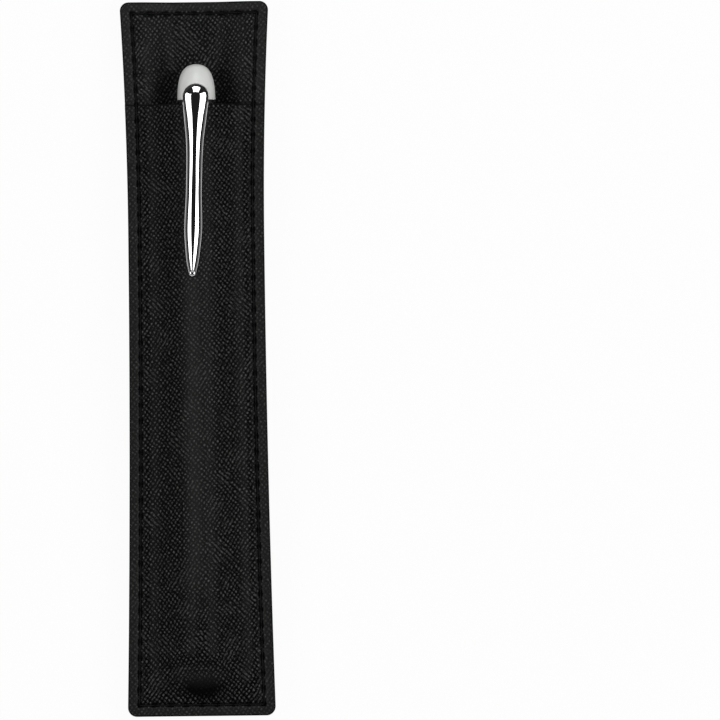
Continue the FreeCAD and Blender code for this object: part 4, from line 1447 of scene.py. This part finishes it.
@dataclass
class SprungClip:
    """Chrome clip: a domed blade from a round head, past a slim waist, to a leaf-shaped point.

    Attributes:
        pin: The clip's pivot.
        ridge: Height of the pocket's ridge, over which the clip lies.
        ridge_gap: Gap between the two.
        lean: How far the blade leans to the left, in degrees.
        knuckle: Radius of the knuckle round the pin.
        knuckle_half: Half the knuckle's length.
        stations: The blade's sections, from the centre of its head to its point.
        ramp: Share of the half-width over which the flat middle turns into the flanks.
        flank: Slope of the flanks.
        least_edge: Least share of the half-width inside the bevelled edges.
        shoulder: Slope that the bevelled edge adds to the flank's.
        shoulder_run: Share of the edge over which it does.
        shelf: Slope that the slanted ledge adds.
        shelf_run: Where along the edge the ledge begins, and over which share of it.
        brink: Slope that the ledge's turned-down brink adds.
        brink_run: Where along the edge the brink begins, and over which share of it.
        ledge_from: Distance below the pin where the ledge begins, in millimetres.
        ledge_run: Length over which it comes in, in millimetres.
        hollow: How far up a section the hollow underside may reach, as a share of its height.
        head_end: Share of the round head's quarter turn at its first ring.
        head_rings: Rings of vertices on the round head.
        rings: Rings of vertices on the blade.
        top_points: Vertices across the top.
        under_points: Vertices across the underside.
        profile_points: Points of the top's profile.
        block_inset: How much narrower the head's block is than the head.
        block_lap: How far the block reaches up into the blade.
        knuckle_points: Vertices round the knuckle.
        crease: Least angle of a sharp edge, in degrees.
    """

    pin: Vector
    ridge: float
    ridge_gap: float = 0.3 * MM
    lean: float = 1.7
    knuckle: float = 1.05 * MM
    knuckle_half: float = 1.5 * MM
    stations: tuple[ClipStation, ...] = (
        ClipStation(0.95, 3.04, 1.50, 0.33, 0.27, 0.70),
        ClipStation(3.4, 2.95, 1.64, 0.45, 0.22, 0.95),
        ClipStation(6.0, 2.72, 1.74, 0.55, 0.15, 1.15),
        ClipStation(11.9, 2.12, 1.88, 0.72, 0.12, 1.12),
        ClipStation(16.7, 1.95, 1.90, 0.75, 0.12, 1.05),
        ClipStation(22.7, 1.93, 1.90, 0.75, 0.16, 1.05),
        ClipStation(32.0, 2.17, 1.65, 0.45, 0.12, 1.06),
        ClipStation(37.5, 1.78, 1.28, 0.15, 0.06, 1.02),
        ClipStation(40.4, 1.42, 1.14, 0.08, 0.02, 1.0),
        ClipStation(42.0, 1.02, 1.06, 0.03, 0.02, 0.85),
        ClipStation(42.55, 0.88, 0.74, 0.02, 0.30, 0.35),
        ClipStation(43.0, 0.72, 0.71, 0.01, 0.34, 0.3),
        ClipStation(43.45, 0.40, 0.45, 0.0, 0.34, 0.3),
    )
    ramp: float = 0.2
    flank: float = 0.42
    least_edge: float = 0.22
    shoulder: float = 0.25
    shoulder_run: float = 0.2
    shelf: float = 0.25
    shelf_run: tuple[float, float] = (0.52, 0.12)
    brink: float = 2.2
    brink_run: tuple[float, float] = (0.86, 0.08)
    ledge_from: float = 1.5
    ledge_run: float = 3.0
    hollow: float = 0.55
    head_end: float = 0.99
    head_rings: int = 44
    rings: int = 190
    top_points: int = 57
    under_points: int = 9
    profile_points: int = 201
    block_inset: float = 0.08 * MM
    block_lap: float = 0.5 * MM
    knuckle_points: int = 32
    crease: float = 50.0

    @property
    def seat(self) -> float:
        """Height that the sections are measured from."""
        return self.ridge + self.ridge_gap

    @property
    def head_y(self) -> float:
        """Centre of the round head along the case."""
        return self.pin.y - self.stations[0].drop * MM

    @property
    def head(self) -> float:
        """Radius of the round head."""
        return self.stations[0].half * MM

    @property
    def across(self) -> Array:
        """Places of a section's top points, from -1 to 1 and closer at the edges."""
        return -np.cos(np.linspace(0.0, np.pi, self.top_points))

    def falls(self, half: float, flat: float, rim: float, ledge: float, shares: Array) -> Array:
        """Fall of the blade's top across it: a flat middle, even flanks and bevelled edges.

        Args:
            half: Half its width.
            flat: Share of the half-width that is flat.
            rim: Width of its bevelled edge.
            ledge: 1 where a slanted ledge runs along its edges, 0 where they turn straight down.
            shares: Places to read, as shares of the half-width.

        Returns:
            The falls there.
        """
        fine = np.linspace(0.0, 1.0, self.profile_points)
        edge = max(self.least_edge, 1.0 - rim / half)
        out = (fine - edge) / (1.0 - edge)
        slope = self.flank * ease((fine - flat) / self.ramp) + self.shoulder * ease(out / self.shoulder_run)
        for steepness, (begin, run) in ((self.shelf, self.shelf_run), (self.brink, self.brink_run)):
            slope += steepness * ledge * ease((out - begin) / run)
        fall = np.concatenate([[0.0], np.cumsum((slope[1:] + slope[:-1]) / 2) / (self.profile_points - 1)])
        return half * np.interp(np.abs(shares), fine, fall)

    def ring(self, y: float, half: float, crown: Array, lift: float) -> Array:
        """One section of the blade.

        Args:
            y: Place along the case.
            half: Half its width.
            crown: Heights of its top's points.
            lift: Height of its hollow underside.

        Returns:
            Its vertices, over the top and back underneath.
        """
        middle = self.pin.x - math.tan(math.radians(self.lean)) * max(0.0, self.pin.y - y)
        u = np.linspace(1.0, -1.0, self.under_points + 2)[1:-1]
        most = self.hollow * crown.max() + (1.0 - self.hollow) * crown[0]
        belly = crown[0] + (min(lift, most) - crown[0]) * np.sqrt(1.0 - u**2)
        x = middle + half * np.concatenate([self.across, u])
        return np.column_stack([x, np.full_like(x, y), np.concatenate([crown, belly])])

    def blade(self) -> tuple[Array, Faces]:
        """Shapes the blade with its turned round head and its nubbed point.

        Returns:
            Its vertices and its faces.
        """
        rings = []
        first, last = self.stations[0], self.stations[-1]
        for share in np.linspace(self.head_end, 0.0, self.head_rings, endpoint=False):
            beyond = math.sin(0.5 * math.pi * share)
            narrow = math.sqrt(1.0 - beyond**2)
            away = np.hypot(narrow * self.across, beyond)
            falls = self.falls(self.head, first.flat, first.rim * MM, 0.0, away)
            crown = self.seat + first.top * MM - falls
            place = self.head_y + beyond * self.head
            rings.append(self.ring(place, narrow * self.head, crown, self.seat + first.lift * MM))
        drops = np.linspace(first.drop, last.drop, self.rings)
        knots, *columns = zip(*self.stations)
        sizes = [smooth_through(knots, column, drops) for column in columns]
        for drop, half, top, lift, flat, rim in zip(drops, *sizes):
            ledge = float(ease((drop - self.ledge_from) / self.ledge_run))
            crown = self.seat + top * MM - self.falls(half * MM, flat, rim * MM, ledge, self.across)
            rings.append(self.ring(self.pin.y - drop * MM, half * MM, crown, self.seat + lift * MM))
        size = self.top_points + self.under_points
        ends = [tuple(range(start, start + size)) for start in (0, (len(rings) - 1) * size)]
        return np.concatenate(rings), grid_faces(len(rings), size, 0, True) + ends

    def block(self, first: int) -> tuple[Array, Faces]:
        """Shapes the block under the head, which fills the crown's notch.

        Args:
            first: Index of its first vertex.

        Returns:
            Its vertices and its faces.
        """
        outline = arch(self.pin.x, self.head - self.block_inset, self.head_y, self.pin.y - self.knuckle)
        levels = (self.pin.z + self.knuckle, self.seat + self.block_lap)
        return bar_between(*(at_height(outline, z) for z in levels), first)

    def knuckle_bar(self, first: int) -> tuple[Array, Faces]:
        """Shapes the knuckle round the pivot pin.

        Args:
            first: Index of its first vertex.

        Returns:
            Its vertices and its faces.
        """
        turn = np.linspace(0.0, 2 * math.pi, self.knuckle_points, endpoint=False)
        y, z = self.pin.y + self.knuckle * np.cos(turn), self.pin.z + self.knuckle * np.sin(turn)
        sides = (self.pin.x - self.knuckle_half, self.pin.x + self.knuckle_half)
        return bar_between(*(np.column_stack([np.full_like(y, x), y, z]) for x in sides), first)

    def build(self) -> None:
        """Builds and dresses the clip."""
        verts, faces = self.blade()
        for part in (self.block, self.knuckle_bar):
            more, sides = part(len(verts))
            verts = np.concatenate([verts, more])
            faces += sides
        clip = make_piece("chrome_clip", verts, faces)
        split = clip.modifiers.new("split", "EDGE_SPLIT")
        split.split_angle = math.radians(self.crease)
        bake_modifiers(clip)
        finish_piece(clip, "clip", ["clip"], CHROME)


@dataclass
class PenPieces:
    """The pen's turned and moulded pieces, which keep their own solids and get finishes here.

    Attributes:
        finishes: The finish of each node.
    """

    finishes: dict[str, Finish] = field(default_factory=lambda: {
        "cap_tube": LACQUER,
        "cap_band": CHROME,
        "crown_screw": SPRING,
        "inner_cap": LINER,
        "clip_pin": SPRING,
        "clip_spring": SPRING,
        "barrel": LACQUER,
        "barrel_tail": CHROME,
        "grip_section": PLASTIC,
        "section_ring": CHROME,
        "nib": STEEL,
        "feed": PLASTIC,
        "converter_tube": CLEAR,
        "converter_collar": CHROME,
        "converter_piston": RUBBER,
        "converter_rod": SPRING,
        "converter_knob": PLASTIC,
    })

    def dress(self) -> None:
        """Gives every kept node its finish."""
        for node, finish in self.finishes.items():
            mesh = frame["nodes"][node].data
            mesh.materials.clear()
            mesh.materials.append(finish.material())
            log.info("%s is finished in %s", node, finish.name)


class LampShape(Enum):
    """Outline of a soft lamp, by Blender's name for it."""

    RECTANGLE = "RECTANGLE"
    ELLIPSE = "ELLIPSE"


@dataclass(frozen=True)
class SoftLamp:
    """A flat soft lamp that faces the case.

    Attributes:
        name: The lamp's name.
        heading: Which way from the case it stands, across and along.
        angle: How far it stands off straight above, in degrees.
        size: Its sizes across and along the case, on its own slant.
        glow: Its radiance.
        shape: Its outline.
        distance: Its distance from the case.
    """

    name: str
    heading: tuple[float, float]
    angle: float
    size: tuple[float, float]
    glow: float
    shape: LampShape = LampShape.RECTANGLE
    distance: float = 1.1

    def hang(self) -> None:
        """Hangs the lamp in the scene, out of the camera's sight."""
        light = bpy.data.lights.new(self.name, "AREA")
        light.shape = self.shape.value
        light.size, light.size_y = self.size
        filled = math.pi / 4 if self.shape is LampShape.ELLIPSE else 1.0
        light.energy = self.glow * math.pi * filled * self.size[0] * self.size[1]
        slant = math.radians(self.angle)
        across, along = self.heading
        back = Vector((across * math.sin(slant), along * math.sin(slant), math.cos(slant))).normalized()
        beyond_end = abs(along) > abs(across)
        side = Vector((1.0, 0.0, 0.0)) if beyond_end else Vector((0.0, 1.0, 0.0)).cross(back).normalized()
        turn = Matrix((side, back.cross(side), back)).transposed().to_4x4()
        lamp = bpy.data.objects.new(self.name, light)
        lamp.matrix_world = Matrix.Translation(back * self.distance) @ turn
        lamp.visible_camera = False
        bpy.context.scene.collection.objects.link(lamp)


@dataclass
class Studio:
    """Pale floor, soft lamps and the camera over the case.

    Attributes:
        form: The sleeve, for the height of its margins.
        pixels: The picture's width and height.
        case_pixel: Where the case's centre lies in the picture.
        pixel: Size of a pixel on the case.
        tilt: How far the case leans to the left in the picture, in degrees.
        lens: The camera's focal length, in millimetres.
        far_clip: How far the camera sees.
        lamps: A long lamp on each side, a smaller one beyond the mouth and three dim ones at the ends.
        room_levels: Places from the horizon to straight above, with the dim room's brightness there.
        floor_half: Half the floor's width.
        floor_colours: The two colours of its faint clouds.
        floor_cloud: Size of the clouds.
        floor_rough: The floor's roughness.
        floor_glow: How far the floor is seen as plain white.
    """

    form: SleeveForm
    pixels: float = 720.0
    case_pixel: tuple[float, float] = (197.6, 358.8)
    pixel: float = MM / 4.21
    tilt: float = 0.66
    lens: float = 400.0
    far_clip: float = 100.0
    lamps: tuple[SoftLamp, ...] = (
        SoftLamp("left_strip", heading=(-1.0, 0.0), angle=43.0, size=(0.67, 0.9), glow=2.35),
        SoftLamp("right_strip", heading=(1.0, 0.0), angle=43.0, size=(0.67, 0.9), glow=3.2),
        SoftLamp("key", (0.0448, 1.0), angle=42.0, size=(0.68, 0.46), glow=3.9, shape=LampShape.ELLIPSE),
        SoftLamp("top_fill", heading=(0.0, 1.0), angle=81.0, size=(1.4, 0.26), glow=0.6),
        SoftLamp("bottom_fill", heading=(0.0, -1.0), angle=81.0, size=(1.4, 0.26), glow=0.6),
        SoftLamp("foot_fill", heading=(0.0, -1.0), angle=52.0, size=(1.5, 0.6), glow=0.38),
    )
    room_levels: tuple[tuple[float, float], ...] = (
        (0.0, 0.34), (0.09, 0.14), (0.29, 0.10), (0.36, 0.02), (1.0, 0.012)
    )
    floor_half: float = 20.0
    floor_colours: tuple[Colour, Colour] = ((0.86, 0.86, 0.86), (0.90, 0.90, 0.90))
    floor_cloud: float = 0.4
    floor_rough: float = 0.9
    floor_glow: float = 0.95

    def floor(self) -> None:
        """Lays a plain white floor that keeps a faint shadow."""
        half = self.floor_half
        corners = np.array([(-half, -half, 0.0), (half, -half, 0.0), (half, half, 0.0), (-half, half, 0.0)])
        floor = make_piece("floor", corners, [(0, 1, 2, 3)], smooth=False)
        pad = NodePad("pale_floor")
        cloud = pad.noise(pad.place(), self.floor_cloud)
        pad.set(Base_Color=pad.blend(cloud, *self.floor_colours), Roughness=self.floor_rough)
        path = pad.add("ShaderNodeLightPath")
        seen = path.outputs["Is Camera Ray"]
        for ray in ("Is Glossy Ray", "Is Transmission Ray"):
            seen = pad.math("MAXIMUM", seen, path.outputs[ray])
        white = pad.add("ShaderNodeEmission", Color=(1.0, 1.0, 1.0), Strength=1.0)
        mix = pad.add("ShaderNodeMixShader", Fac=pad.math("MULTIPLY", seen, self.floor_glow))
        pad.tree.links.new(pad.shader.outputs[0], mix.inputs[1])
        pad.tree.links.new(white.outputs[0], mix.inputs[2])
        pad.tree.links.new(mix.outputs[0], pad.tree.nodes["Material Output"].inputs["Surface"])
        floor.data.materials.append(pad.material)

    def room(self) -> None:
        """Makes a dim room with a pale band round the horizon."""
        world = bpy.data.worlds.new("room")
        world.use_nodes = True
        tree = world.node_tree
        place = tree.nodes.new("ShaderNodeTexCoord")
        parts = tree.nodes.new("ShaderNodeSeparateXYZ")
        ramp = tree.nodes.new("ShaderNodeValToRGB")
        stops = ramp.color_ramp.elements
        while len(stops) < len(self.room_levels):
            stops.new(0.5)
        for stop, (at, level) in zip(stops, self.room_levels):
            stop.position = at
            stop.color = (level, level, level, 1.0)
        tree.links.new(place.outputs["Generated"], parts.inputs[0])
        tree.links.new(parts.outputs["Z"], ramp.inputs[0])
        tree.links.new(ramp.outputs[0], tree.nodes["Background"].inputs["Color"])
        bpy.context.scene.world = world

    def camera(self) -> None:
        """Sets the camera straight over the picture's centre, so the case lies where the picture has it."""
        data = bpy.data.cameras.new("camera")
        data.lens = self.lens
        data.clip_end = self.far_clip
        turn = math.radians(self.tilt)
        right = (self.pixels / 2 - self.case_pixel[0]) * self.pixel
        up = (self.case_pixel[1] - self.pixels / 2) * self.pixel
        margin = float(self.form.towards_ends(np.float64(0.0), self.form.margin_lift))
        height = margin + self.form.full_stack + self.pixels * self.pixel * self.lens / data.sensor_width
        camera = bpy.data.objects.new("camera", data)
        camera.location = (
            right * math.cos(turn) + up * math.sin(turn),
            up * math.cos(turn) - right * math.sin(turn),
            height,
        )
        camera.rotation_euler = (0.0, 0.0, -turn)
        bpy.context.scene.collection.objects.link(camera)
        bpy.context.scene.camera = camera

    def build(self) -> None:
        """Sets up the floor, the lamps, the room and the camera."""
        self.floor()
        for lamp in self.lamps:
            lamp.hang()
        self.room()
        self.camera()
        bpy.context.scene.view_settings.view_transform = "Standard"
        log.info("studio set up")


def joint_place(name: str) -> Vector:
    """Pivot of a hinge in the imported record."""
    return Vector(next(j["pos_m"] for j in frame["joints"] if j["name"] == name))


def main() -> None:
    """Builds the case, the pen and the studio."""
    logging.basicConfig(level=logging.INFO, format="%(name)s: %(message)s")
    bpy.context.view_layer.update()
    nodes = ("back_cover", "pocket_panel", "cap_crown", "cap_tube")
    cover, pocket, crown, tube = (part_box(node) for node in nodes)
    axis, pin = joint_place("knob_turn"), joint_place("clip_flex")
    form = SleeveForm(
        top=cover[1].y,
        bottom=cover[0].y,
        mouth=pocket[1].y,
        crest=pocket[1].z,
        pen_x=axis.x,
        pen_z=axis.z,
        lip=tube[0].y,
        tail=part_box("barrel_tail")[0].y,
    )
    Studio(form).build()
    Sleeve(form).build()
    clip = SprungClip(pin, form.crest)
    clip.build()
    CapCrown(
        axis=Vector((axis.x, crown[0].y, axis.z)),
        height=crown[1].y - crown[0].y,
        radius=(crown[1].x - crown[0].x) / 2,
        head_y=clip.head_y,
    ).build()
    PenPieces().dress()


if __name__ == "__main__":
    main()
